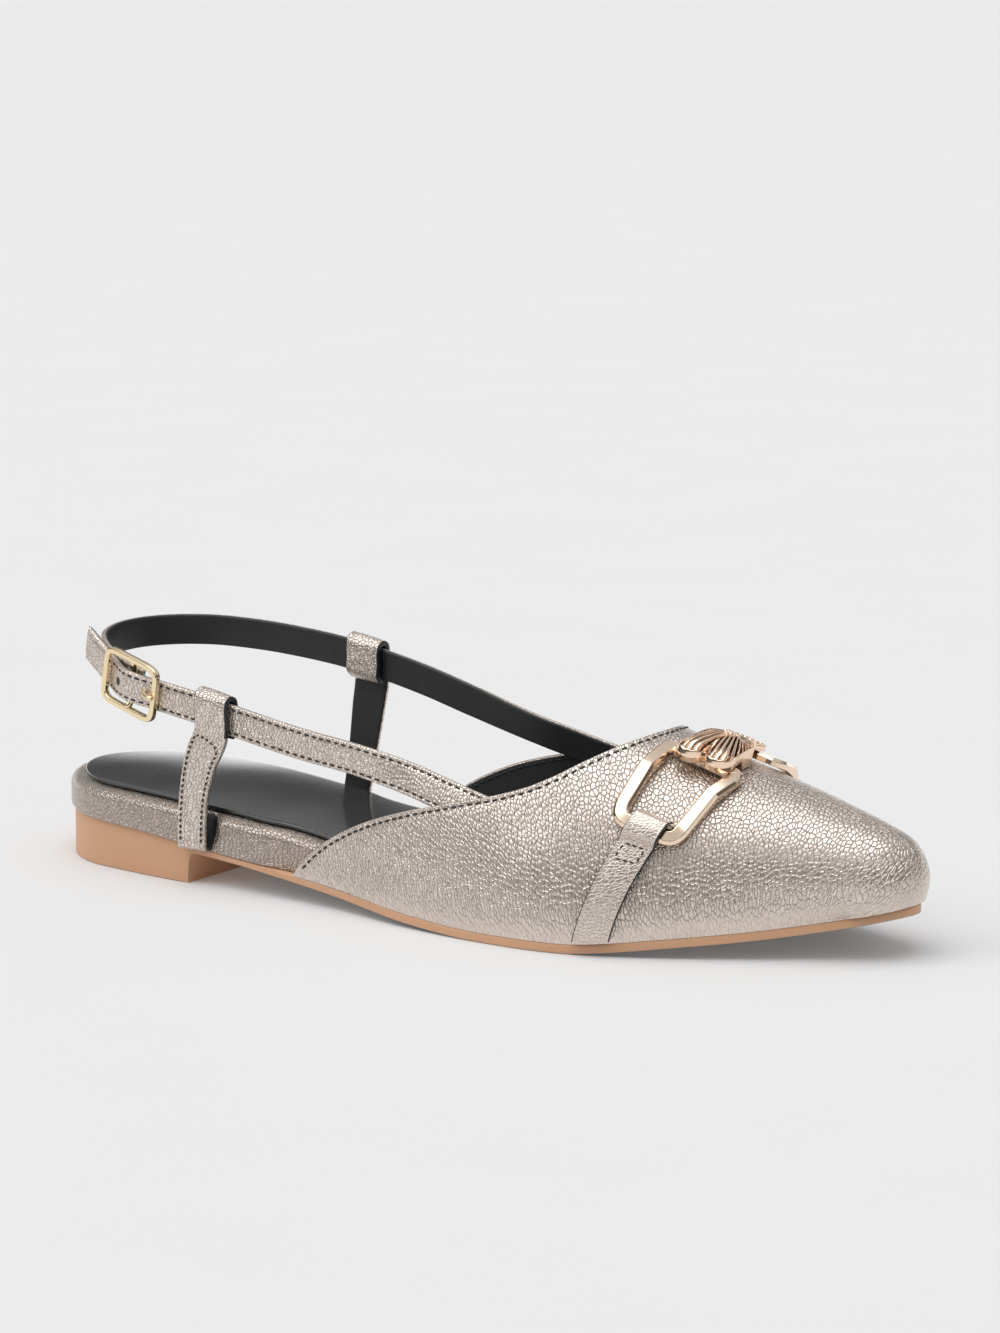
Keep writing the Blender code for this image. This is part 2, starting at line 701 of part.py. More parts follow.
def build_tab(side):
    """Leather tab that runs up from the sole's edge and folds over the link's lower bar."""
    knots = column(TAB, "arc")
    steps = np.linspace(0, len(knots) - 1, TAB_ROWS)
    arc = np.interp(steps, np.arange(len(knots)), knots)
    middle = along(TAB, "arc", "x", arc)
    half = along(TAB, "arc", "half_width", arc)
    lift = np.interp(arc, knots, column(TAB, "lift")) + SEAT_GAP
    slant = (LINK_LOWER_FRONT.arc - LINK_LOWER_REAR.arc) / (LINK_LOWER_FRONT.x - LINK_LOWER_REAR.x)
    aside = half[:, None] * np.linspace(-1, 1, TAB_COLUMNS)
    x = middle[:, None] + aside
    arcs = arc[:, None] + slant * aside * (arc / knots[-1])[:, None]
    arcs = arcs if side < 0 else 1 - arcs
    inner = on_upper(x, arcs, lift[:, None])
    outer = on_upper(x, arcs, lift[:, None] + TAB_THICKNESS)
    return sheet(outer, inner)


def build_link(side):
    """Bevelled ring that follows the side of the upper."""
    turn = np.arange(36) * 2 * np.pi / 36
    forward = (1 + signed_power(np.cos(turn), 2 / LINK_SQUARENESS)) / 2
    upward = (1 + signed_power(np.sin(turn), 2 / LINK_SQUARENESS)) / 2
    corners = (LINK_LOWER_REAR, LINK_LOWER_FRONT, LINK_UPPER_REAR, LINK_UPPER_FRONT)
    shares = ((1 - forward) * (1 - upward), forward * (1 - upward), (1 - forward) * upward, forward * upward)
    x = sum(share * corner.x for share, corner in zip(shares, corners))
    arc = sum(share * corner.arc for share, corner in zip(shares, corners))
    arc = arc if side < 0 else 1 - arc
    middle = on_upper(x, arc, LINK_SEAT)
    normal = upper_normal(station_of(x), arc)
    forward_run = unit(np.roll(middle, -1, axis=0) - np.roll(middle, 1, axis=0))
    across = unit(np.cross(forward_run, normal))
    half = LINK_BAR_WIDTH / 2
    profile = (
        (-half, 0.1 * LINK_BAR_HEIGHT),
        (-half, 0.5 * LINK_BAR_HEIGHT),
        (-0.5 * half, LINK_BAR_HEIGHT),
        (0.5 * half, LINK_BAR_HEIGHT),
        (half, 0.5 * LINK_BAR_HEIGHT),
        (half, 0.1 * LINK_BAR_HEIGHT),
    )
    rings = [
        np.array([m + a * c + h * n for a, h in profile]) for m, c, n in zip(middle, across, normal)
    ]
    return tube(rings, closed=True)


def build_rosette():
    """Ribbed ornament across the ridge, with two lobes at each end that cover the links' upper bars."""
    forward = np.linspace(-1, 1, ROSETTE_ROWS)[:, None]
    sideways = np.linspace(-1, 1, ROSETTE_COLUMNS)[None, :]
    lobes = 0.86 + 0.14 * np.abs(np.sin(np.pi * forward))
    waist = 0.74 + 0.26 * sideways**2 * (1.6 - 0.6 * sideways**2)
    x = ROSETTE_X + ROSETTE_HALF_LENGTH * forward * waist
    arc = 0.5 + ROSETTE_HALF_ARC * sideways * lobes
    bar_top = LINK_SEAT + LINK_BAR_HEIGHT + SEAT_GAP
    clear = ease(0.028, 0.044, np.abs(arc - 0.5))
    base = SEAT_GAP + (bar_top - SEAT_GAP) * clear
    edge = np.maximum(np.abs(forward), np.abs(sideways))
    dome = np.sqrt(np.clip(1 - edge**4, 0, 1))
    ribs = ROSETTE_RIB * np.cos(3 * np.pi * forward) * dome
    top = bar_top + ROSETTE_EDGE + ROSETTE_DOME * dome + ribs
    return sheet(on_upper(x, arc, top), on_upper(x, arc, base))


# Objects

def add_object(name, solid, finish, origin, helper=False):
    points, faces = solid
    mesh = bpy.data.meshes.new(name)
    shape = bmesh.new()
    corners = [shape.verts.new((point - origin) * MM) for point in points]
    for face in faces:
        shape.faces.new([corners[i] for i in face])
    bmesh.ops.triangulate(shape, faces=shape.faces[:], quad_method="BEAUTY", ngon_method="BEAUTY")
    bmesh.ops.recalc_face_normals(shape, faces=shape.faces[:])
    shape.to_mesh(mesh)
    shape.free()
    mesh.shade_smooth()
    mesh.set_sharp_from_angle(angle=SMOOTH_ANGLE)
    made = bpy.data.objects.new(name, mesh)
    bpy.context.scene.collection.objects.link(made)
    if helper:
        made.hide_render = True
        made.display_type = "WIRE"
        return made
    material = bpy.data.materials.new(name)
    material.use_nodes = True
    shader = material.node_tree.nodes["Principled BSDF"]
    shader.inputs["Base Color"].default_value = (finish.red, finish.green, finish.blue, 1.0)
    shader.inputs["Roughness"].default_value = finish.roughness
    shader.inputs["Metallic"].default_value = finish.metallic
    mesh.materials.append(material)
    return made


def add_boolean(target, tool, operation):
    modifier = target.modifiers.new(tool.name, "BOOLEAN")
    modifier.operation = operation
    modifier.solver = "EXACT"
    modifier.object = tool


def main():
    for old in list(bpy.data.objects):
        bpy.data.objects.remove(old, do_unlink=True)
    sling = sling_knots()
    buckle_strap = buckle_strap_knots()
    pieces = {
        "outsole": (build_outsole(), TAN_SOLE),
        "footbed": (build_footbed(), PEWTER_LEATHER),
        "insole": (build_insole(), BLACK_SOCK),
        "upper": (build_upper(), PEWTER_LEATHER),
        "sling_strap": (build_strap(sling, STRAP_THICKNESS, 46), PEWTER_LEATHER),
        "buckle_strap": (build_strap(buckle_strap, BUCKLE_STRAP_THICKNESS, 40), PEWTER_LEATHER),
        "stay_lateral": (build_stay(STAY_LATERAL, buckle_strap, BUCKLE_STRAP_THICKNESS), PEWTER_LEATHER),
        "stay_medial": (build_stay(STAY_MEDIAL, sling, STRAP_THICKNESS), PEWTER_LEATHER),
        "buckle_frame": (build_buckle_frame(), PALE_GOLD),
        "buckle_prong": (build_prong(PRONG_WIRE), PALE_GOLD),
        "bit_tab_lateral": (build_tab(-1), PEWTER_LEATHER),
        "bit_tab_medial": (build_tab(1), PEWTER_LEATHER),
        "bit_link_lateral": (build_link(-1), PALE_GOLD),
        "bit_link_medial": (build_link(1), PALE_GOLD),
        "bit_rosette": (build_rosette(), ROSE_GOLD),
    }
    low = np.min([solid[0].min(axis=0) for solid, _ in pieces.values()], axis=0)
    high = np.max([solid[0].max(axis=0) for solid, _ in pieces.values()], axis=0)
    origin = np.array([(low[0] + high[0]) / 2, (low[1] + high[1]) / 2, low[2]])
    made = {name: add_object(name, solid, finish, origin) for name, (solid, finish) in pieces.items()}
    bar = add_object("buckle_bar_tool", build_buckle_bar(), PALE_GOLD, origin, helper=True)
    hole = build_prong(PRONG_WIRE + SEAT_GAP, PRONG_HOLE_SPAN, 60)
    hole_tool = add_object("prong_hole_tool", hole, PALE_GOLD, origin, helper=True)
    add_boolean(made["buckle_frame"], bar, "UNION")
    add_boolean(made["buckle_strap"], hole_tool, "DIFFERENCE")


main()
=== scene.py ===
"""Dresses a right-foot slingback flat: leather, lining, stitches, sole, metal fittings, studio and camera.

Sizes are millimetres in the frame of the last: x runs from the heel back to the toe, y to the inner side of
the foot and z up from the floor. A mesh is moved to the frame's origin and scaled to metres as it is laid.
"""

import logging
from collections.abc import Sequence
from dataclasses import dataclass, field
from enum import Enum
from math import cos, radians, sin
from typing import NamedTuple

import bmesh
import bpy
import numpy as np
from mathutils import Matrix, Vector


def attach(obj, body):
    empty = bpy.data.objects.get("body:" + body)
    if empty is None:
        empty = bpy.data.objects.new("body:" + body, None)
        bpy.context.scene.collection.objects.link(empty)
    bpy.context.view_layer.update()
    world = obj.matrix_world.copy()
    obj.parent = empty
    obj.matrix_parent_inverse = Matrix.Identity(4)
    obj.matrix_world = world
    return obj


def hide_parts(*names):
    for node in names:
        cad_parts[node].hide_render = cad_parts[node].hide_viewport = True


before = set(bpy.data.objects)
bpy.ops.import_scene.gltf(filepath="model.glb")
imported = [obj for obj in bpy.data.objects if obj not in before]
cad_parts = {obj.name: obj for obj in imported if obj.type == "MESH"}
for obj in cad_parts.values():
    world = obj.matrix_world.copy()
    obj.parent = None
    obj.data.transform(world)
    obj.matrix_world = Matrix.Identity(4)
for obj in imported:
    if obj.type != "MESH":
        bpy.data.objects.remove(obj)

log = logging.getLogger("slingback")

Array = np.ndarray
Numbers = float | Array
Shape = bmesh.types.BMesh
Socket = bpy.types.NodeSocket
Triple = tuple[float, float, float]
Colour = Triple

MM = 0.001
ORIGIN = np.array([129.1414, 1.0225, 0.0])
MERGE = 2e-6
BODY = "root"
GRAIN_CHART = "grain"
MARK = "mark"
UP = np.array([0.0, 0.0, 1.0])


class Side(Enum):
    """Side of the foot, as the sign of y."""

    LATERAL = -1
    MEDIAL = 1

    @property
    def word(self) -> str:
        """Name of the side, as the tables' columns have it."""
        return self.name.lower()

    def arc(self, share: Numbers) -> Numbers:
        """Arc of the upper that lies the given share up from this side's edge."""
        return share if self is Side.LATERAL else 1 - share


class Slot(Enum):
    """Material slots of the part."""

    SOLE = "tan_sole"
    LEATHER = "pewter_leather"
    SOCK = "black_sock"
    GOLD = "pale_gold"
    ROSE = "rose_gold"


class From(Enum):
    """What a pattern of cells measures its distance from."""

    MIDDLE = "F1"
    CREASE = "DISTANCE_TO_EDGE"


# Tables of the last and the straps

def table(kind: type, *rows: tuple[float, ...]) -> tuple:
    """Rows of one kind."""
    return tuple(kind(*row) for row in rows)


class OutlineRow(NamedTuple):
    """Half widths of the sole and the swing of its middle, at a share of its length."""

    share: float
    lateral: float
    medial: float
    swing: float


OUTLINE = table(
    OutlineRow,
    (0.00, 23.2, 23.2, 0.0),
    (0.10, 26.6, 27.4, 0.0),
    (0.20, 29.3, 26.6, 0.0),
    (0.30, 28.9, 24.6, 0.0),
    (0.42, 31.5, 24.2, 0.0),
    (0.52, 36.8, 27.5, 0.1),
    (0.62, 39.8, 33.0, 1.0),
    (0.69, 39.9, 36.0, 2.1),
    (0.77, 34.8, 34.5, 3.9),
    (0.85, 26.0, 28.0, 6.0),
    (0.93, 15.6, 18.5, 8.2),
    (1.00, 7.7, 8.9, 10.0),
)


class ProfileRow(NamedTuple):
    """Height of the sole's underside and thickness of its edge, at a share of its length."""

    share: float
    height: float
    thickness: float


SOLE_PROFILE = table(
    ProfileRow,
    (0.00, 10.5, 3.4),
    (0.08, 9.6, 3.3),
    (0.19, 8.9, 2.4),
    (0.28, 7.1, 1.6),
    (0.40, 4.0, 2.1),
    (0.52, 1.1, 2.5),
    (0.61, 0.0, 2.5),
    (0.66, 0.0, 2.5),
    (0.71, 0.0, 2.5),
    (0.80, 2.5, 2.5),
    (0.90, 6.0, 2.5),
    (1.00, 11.2, 2.5),
)


class StationRow(NamedTuple):
    """Section of the upper: where it stands on the sole, its ridge point and how full its arc is."""

    foot_x: float
    ridge_x: float
    ridge_z: float
    fullness: float


STATIONS = table(
    StationRow,
    (75.0, 75.0, 105.5, 2.10),
    (100.0, 100.0, 93.4, 2.10),
    (125.0, 125.0, 81.0, 2.10),
    (150.0, 150.0, 68.4, 2.10),
    (172.0, 172.0, 57.8, 2.10),
    (193.0, 194.0, 48.8, 2.13),
    (211.0, 214.0, 42.7, 2.18),
    (225.0, 232.0, 37.4, 2.20),
    (234.5, 245.6, 33.0, 2.20),
    (240.5, 253.8, 29.2, 2.16),
    (243.5, 257.9, 21.8, 2.08),
    (245.0, 257.0, 14.0, 2.00),
)
STATION_SHARE = np.linspace(0, 1, len(STATIONS))


class CollarRow(NamedTuple):
    """Collar line: where the upper starts on each side, at a share of the arc from the sole's edge up."""

    arc: float
    lateral: float
    medial: float


COLLAR = table(
    CollarRow,
    (0.00, 92.6, 92.6),
    (0.03, 101.5, 100.0),
    (0.065, 114.5, 110.5),
    (0.10, 129.0, 122.5),
    (0.14, 145.0, 138.0),
    (0.18, 158.3, 153.0),
    (0.21, 165.8, 161.8),
    (0.25, 172.5, 170.0),
    (0.30, 177.9, 176.4),
    (0.37, 183.2, 182.5),
    (0.43, 186.2, 185.9),
    (0.50, 187.5, 187.5),
)
WING_END = COLLAR[0].lateral


class CreaseRow(NamedTuple):
    """Soft trough or ridge in the upper: its middle, half its length and width, its slant and its depth."""

    x: float
    arc: float
    half_length: float
    half_width: float
    slant: float
    depth: float


CREASES = table(
    CreaseRow,
    (120.0, 0.030, 16.0, 4.0, 0.0, 0.25),
    (171.0, 0.170, 14.0, 5.0, 35.0, 0.22),
    (214.0, 0.120, 18.0, 5.5, -8.0, 0.20),
    (232.0, 0.080, 12.0, 3.2, -14.0, 0.22),
    (170.0, 0.830, 14.0, 5.0, -35.0, 0.22),
    (214.0, 0.880, 18.0, 5.5, 8.0, 0.20),
    (225.0, 0.490, 16.0, 8.0, 0.0, -0.18),
    (133.0, 0.045, 9.0, 1.6, 38.0, 0.14),
    (146.0, 0.055, 11.0, 1.7, 40.0, 0.14),
    (158.0, 0.060, 10.0, 1.6, 42.0, 0.12),
)


class LiningRow(NamedTuple):
    """End of a strap's run on the inside of the upper."""

    x: float
    z: float


class PathRow(NamedTuple):
    """Point of a strap's middle line."""

    x: float
    y: float
    z: float


SLING_LINING = (LiningRow(165.0, 33.8), LiningRow(137.0, 41.4))
SLING_PATH = table(
    PathRow,
    (110.0, 26.4, 46.6),
    (96.0, 26.4, 50.2),
    (82.0, 26.4, 53.1),
    (70.0, 26.3, 55.1),
    (55.0, 25.9, 56.6),
    (40.0, 24.7, 57.5),
    (26.5, 21.0, 58.0),
    (17.5, 13.8, 58.1),
    (13.2, 5.5, 58.0),
    (12.6, -3.5, 57.6),
    (15.6, -11.5, 56.8),
    (21.4, -17.6, 55.5),
)
BUCKLE_LINING = (LiningRow(165.0, 30.6), LiningRow(132.0, 37.4))
BUCKLE_STRAP_PATH = table(
    PathRow,
    (115.0, -29.5, 40.0),
    (95.0, -29.0, 42.2),
    (75.0, -28.7, 45.3),
    (61.0, -28.4, 47.7),
)
BUCKLE_STRAP_TIP = (PathRow(17.0, -19.9, 59.4),)


class LayerRow(NamedTuple):
    """Place in the buckle: distance along its axis from the centre bar, and out from the frame's plane."""

    along: float
    out: float


SLING_LAYERS = (LayerRow(10.3, -3.96), LayerRow(0.0, -2.95), LayerRow(-1.2, -2.9))
BUCKLE_STRAP_LAYERS = (LayerRow(-10.3, -2.1), LayerRow(0.0, 1.2), LayerRow(10.3, -2.0))
PRONG_LAYERS = table(
    LayerRow,
    (-1.7, -1.1),
    (-3.6, -1.5),
    (-5.0, -1.0),
    (-6.2, 0.4),
    (-7.4, 1.35),
    (-9.0, 1.75),
    (-10.5, 1.85),
    (-11.6, 1.75),
)


class StayRow(NamedTuple):
    """Stay: where it stands, where it meets its strap, and how late its forward lean comes in."""

    base_x: float
    top_x: float
    lateness: float


STAYS = {
    Side.LATERAL: StayRow(59.7, 66.8, 2.6),
    Side.MEDIAL: StayRow(70.5, 76.0, 0.8),
}


class TabRow(NamedTuple):
    """Bit tab: middle line up the side of the upper, half its width, and its lift over the link's bar."""

    arc: float
    x: float
    half_width: float
    lift: float


TAB = table(
    TabRow,
    (0.004, 189.9, 4.9, 0.0),
    (0.05, 192.2, 4.8, 0.0),
    (0.10, 194.6, 4.7, 0.0),
    (0.15, 197.0, 4.6, 0.0),
    (0.177, 198.2, 4.5, 0.1),
    (0.190, 198.8, 4.4, 2.8),
    (0.208, 199.5, 4.3, 3.1),
    (0.231, 200.3, 4.3, 2.8),
    (0.243, 200.7, 4.3, 0.1),
)


class LinkRow(NamedTuple):
    """Corner of a bit link's middle line on the side of the upper."""

    x: float
    arc: float


LINK_LOWER_REAR = LinkRow(191.6, 0.222)
LINK_LOWER_FRONT = LinkRow(207.2, 0.196)
LINK_UPPER_FRONT = LinkRow(213.0, 0.420)
LINK_UPPER_REAR = LinkRow(193.4, 0.433)


# Curves

def smooth(knots: Array, values: Array, at: Numbers) -> Array:
    """Smooth curve through the knots, with each slope weighted by the spans on both sides.

    Args:
        knots: Places of the knots, rising.
        values: Values at the knots.
        at: Where to read the curve.

    Returns:
        Values of the curve.
    """
    at = np.clip(np.asarray(at, float), knots[0], knots[-1])
    spans = np.diff(knots)
    rises = np.diff(values) / spans
    slopes = np.empty(len(values))
    slopes[1:-1] = (rises[:-1] * spans[1:] + rises[1:] * spans[:-1]) / (spans[:-1] + spans[1:])
    slopes[0] = 1.5 * rises[0] - 0.5 * slopes[1]
    slopes[-1] = 1.5 * rises[-1] - 0.5 * slopes[-2]
    left = np.clip(np.searchsorted(knots, at, side="right") - 1, 0, len(knots) - 2)
    t = (at - knots[left]) / spans[left]
    return (
        (1 + 2 * t) * (1 - t) ** 2 * values[left]
        + t * (1 - t) ** 2 * spans[left] * slopes[left]
        + t * t * (3 - 2 * t) * values[left + 1]
        + t * t * (t - 1) * spans[left] * slopes[left + 1]
    )


def column(rows: Sequence[NamedTuple], name: str) -> Array:
    """One column of a table."""
    return np.array([getattr(row, name) for row in rows], float)


def along(rows: Sequence[NamedTuple], key: str, name: str, at: Numbers) -> Array:
    """Smooth curve through one column of a table, read against another."""
    return smooth(column(rows, key), column(rows, name), at)


def ease(start: float, end: float, at: Numbers) -> Array:
    """Soft step from 0 at the start to 1 at the end."""
    t = np.clip((np.asarray(at, float) - start) / (end - start), 0, 1)
    return t * t * (3 - 2 * t)


def unit(vectors: Array) -> Array:
    """Vectors scaled to length 1."""
    return vectors / np.linalg.norm(vectors, axis=-1, keepdims=True)


def signed_power(base: Array, power: float) -> Array:
    """Power of the size of a number, with its sign kept."""
    return np.sign(base) * np.abs(base) ** power


def bump_at(distance: Array, reach: float) -> Array:
    """Bell that is 1 at no distance and fades over the reach."""
    return np.exp(-((distance / reach) ** 2))


def run_of(line: Array) -> Array:
    """Length of a line up to each of its points."""
    return np.concatenate([[0.0], np.cumsum(np.linalg.norm(np.diff(line, axis=0), axis=1))])


def heading(line: Array) -> Array:
    """Direction of a line at each of its points."""
    return unit(np.gradient(line, axis=0))


def ring_heading(ring: Array) -> Array:
    """Direction of a closed line at each of its points."""
    return unit(np.roll(ring, -1, axis=0) - np.roll(ring, 1, axis=0))


def square_to(forward: Array, across: Array) -> Array:
    """Directions across a line, turned square to it."""
    return unit(across - np.sum(across * forward, axis=1, keepdims=True) * forward)


def between_rows(rows: Array, places: Array, at: Numbers) -> Array:
    """Rows read at places between their own, straight from one to the next."""
    return np.stack([np.interp(at, places, values) for values in rows.T], axis=-1)


def path_through(knots: Array, samples: int) -> Array:
    """Evenly spaced points on the smooth curve through the knots, by the length of its chords.

    Args:
        knots: Rows of x, y, z and any further columns.
        samples: Number of points.

    Returns:
        Rows of the same columns.
    """
    run = run_of(knots[:, :3])
    at = np.linspace(0, run[-1], samples)
    return np.stack([smooth(run, knots[:, k], at) for k in range(knots.shape[1])], axis=1)


# Meshes

def grain_chart(points: Array) -> Array:
    """Lengths along a grid of points, for a pattern that follows the surface.

    Args:
        points: Rows by columns of points.

    Returns:
        Metres along the columns from the middle one, metres along the rows from the first, and a zero.
    """
    across = np.cumsum(np.linalg.norm(np.diff(points, axis=1, prepend=points[:, :1]), axis=2), axis=1)
    across = across - across[:, [points.shape[1] // 2]]
    up = np.cumsum(np.linalg.norm(np.diff(points, axis=0, prepend=points[:1]), axis=2), axis=0)
    return np.stack([across, up, 0 * up], axis=2) * MM


def draped(points: Array, dress: Array | None = None, marks: Array | None = None) -> Shape:
    """Grid carried onto rows of points, with the edges and poles that fall together merged.

    Args:
        points: Rows by columns of points.
        dress: Material index of each quad, or none for the first material all over.
        marks: Number kept at each point as the attribute mark.

    Returns:
        The closed shape in metres, faces outward.
    """
    rows, columns = points.shape[:2]
    shape = bmesh.new()
    layer = shape.verts.layers.float.new(MARK)
    grain = shape.loops.layers.float_vector.new(GRAIN_CHART)
    half = 0.5
    bmesh.ops.create_grid(shape, x_segments=columns - 1, y_segments=rows - 1, size=half)

    def on_grid(flat: Vector) -> tuple[float, float]:
        """Row and column of a place on the flat grid."""
        return (flat.y + half) * (rows - 1), (flat.x + half) * (columns - 1)

    chart = grain_chart(points)
    for face in shape.faces:
        row, place = on_grid(face.calc_center_median())
        face.material_index = 0 if dress is None else int(dress[int(row), int(place)])
        for loop in face.loops:
            row, place = on_grid(loop.vert.co)
            loop[grain] = chart[round(row), round(place)]
    laid = (points - ORIGIN) * MM
    for corner in shape.verts:
        row, place = on_grid(corner.co)
        corner.co = laid[round(row), round(place)]
        corner[layer] = 0.0 if marks is None else marks[round(row), round(place)]
    bmesh.ops.remove_doubles(shape, verts=shape.verts[:], dist=MERGE)
    bmesh.ops.dissolve_degenerate(shape, dist=MERGE, edges=shape.edges[:])
    bmesh.ops.recalc_face_normals(shape, faces=shape.faces[:])
    return shape


def closed_round(points: Array) -> Array:
    """Rows of points with each row's first point repeated at its end."""
    return np.concatenate([points, points[:, :1]], axis=1)


def add_piece(
    name: str,
    shape: Shape,
    finishes: Sequence[bpy.types.Material],
    stands_for: Sequence[str] = (),
    sharp: float = radians(50),
) -> bpy.types.Object:
    """Makes a shape a piece of the shoe.

    Args:
        name: Name of the piece.
        shape: Its mesh, which is used up.
        finishes: Its materials.
        stands_for: Nodes that it replaces.
        sharp: Angle from which an edge stays crisp.

    Returns:
        The piece.
    """
    mesh = bpy.data.meshes.new(name)
    shape.to_mesh(mesh)
    shape.free()
    mesh.shade_smooth()
    mesh.set_sharp_from_angle(angle=sharp)
    for finish in finishes:
        mesh.materials.append(finish)
    piece = bpy.data.objects.new(name, mesh)
    bpy.context.scene.collection.objects.link(piece)
    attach(piece, BODY)
    if stands_for:
        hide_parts(*stands_for)
    log.info("%s: %d faces", name, len(mesh.polygons))
    return piece


@dataclass(frozen=True)
class Seam:
    """Row of machine stitches, each a flattened bead of thread sunk into the leather."""

    pitch: float = 2.45
    length: float = 1.65
    width: float = 0.68
    height: float = 0.5

    def sew(self, shape: Shape, line: Array, normals: Array) -> None:
        """Adds the stitches along a line.

        Args:
            shape: Mesh that takes the stitches.
            line: Points of the seam.
            normals: Outward direction at each point.
        """
        run = run_of(line)
        count = max(1, round(run[-1] / self.pitch))
        for at in (np.arange(count) + 0.5) * run[-1] / count:
            ends = [between_rows(line, run, at + turn * self.length / 2) for turn in (-1, 1)]
            out = unit(between_rows(normals, run, at))
            ahead = unit(ends[1] - ends[0])
            aside = np.cross(out, ahead)
            axes = (aside * self.width / 2, out * self.height / 2, ahead * self.length / 2)
            place = Matrix.Identity(4)
            for k, axis in enumerate((*axes, (ends[0] + ends[1]) / 2 - ORIGIN)):
                place.col[k].xyz = axis * MM
            bmesh.ops.create_uvsphere(shape, u_segments=8, v_segments=6, radius=1.0, matrix=place)


# Shader maths and finishes

class Value:
    """Number that varies over a surface, written with ordinary operators."""

    def __init__(self, nodes: "Nodes", socket: Socket) -> None:
        """Wraps a socket of a node tree."""
        self.nodes = nodes
        self.socket = socket

    def math(self, operation: str, first: "Value | float", second: "Value | float") -> "Value":
        """Result of one Math node.

        Args:
            operation: Name of the operation.
            first: First number.
            second: Second number.

        Returns:
            The node's output.
        """
        made = self.nodes.node("ShaderNodeMath", {"operation": operation}, {0: first, 1: second})
        return Value(self.nodes, made.outputs[0])

    def __add__(self, other: "Value | float") -> "Value":
        """Sum."""
        return self.math("ADD", self, other)

    __radd__ = __add__

    def __sub__(self, other: "Value | float") -> "Value":
        """Difference."""
        return self.math("SUBTRACT", self, other)

    def __rsub__(self, other: float) -> "Value":
        """Difference from a plain number."""
        return self.math("SUBTRACT", other, self)

    def __mul__(self, other: "Value | float") -> "Value":
        """Product."""
        return self.math("MULTIPLY", self, other)

    __rmul__ = __mul__

    def size(self) -> "Value":
        """Number without its sign."""
        return self.math("ABSOLUTE", self, 0.0)

    def between(self, low: float, high: float) -> "Value":
        """Soft step.

        Args:
            low: Number at which the step is 0.
            high: Number at which it is 1.

        Returns:
            The step.
        """
        inputs = {"Value": self, "From Min": low, "From Max": high}
        made = self.nodes.node("ShaderNodeMapRange", {"interpolation_type": "SMOOTHSTEP"}, inputs)
        return Value(self.nodes, made.outputs[0])


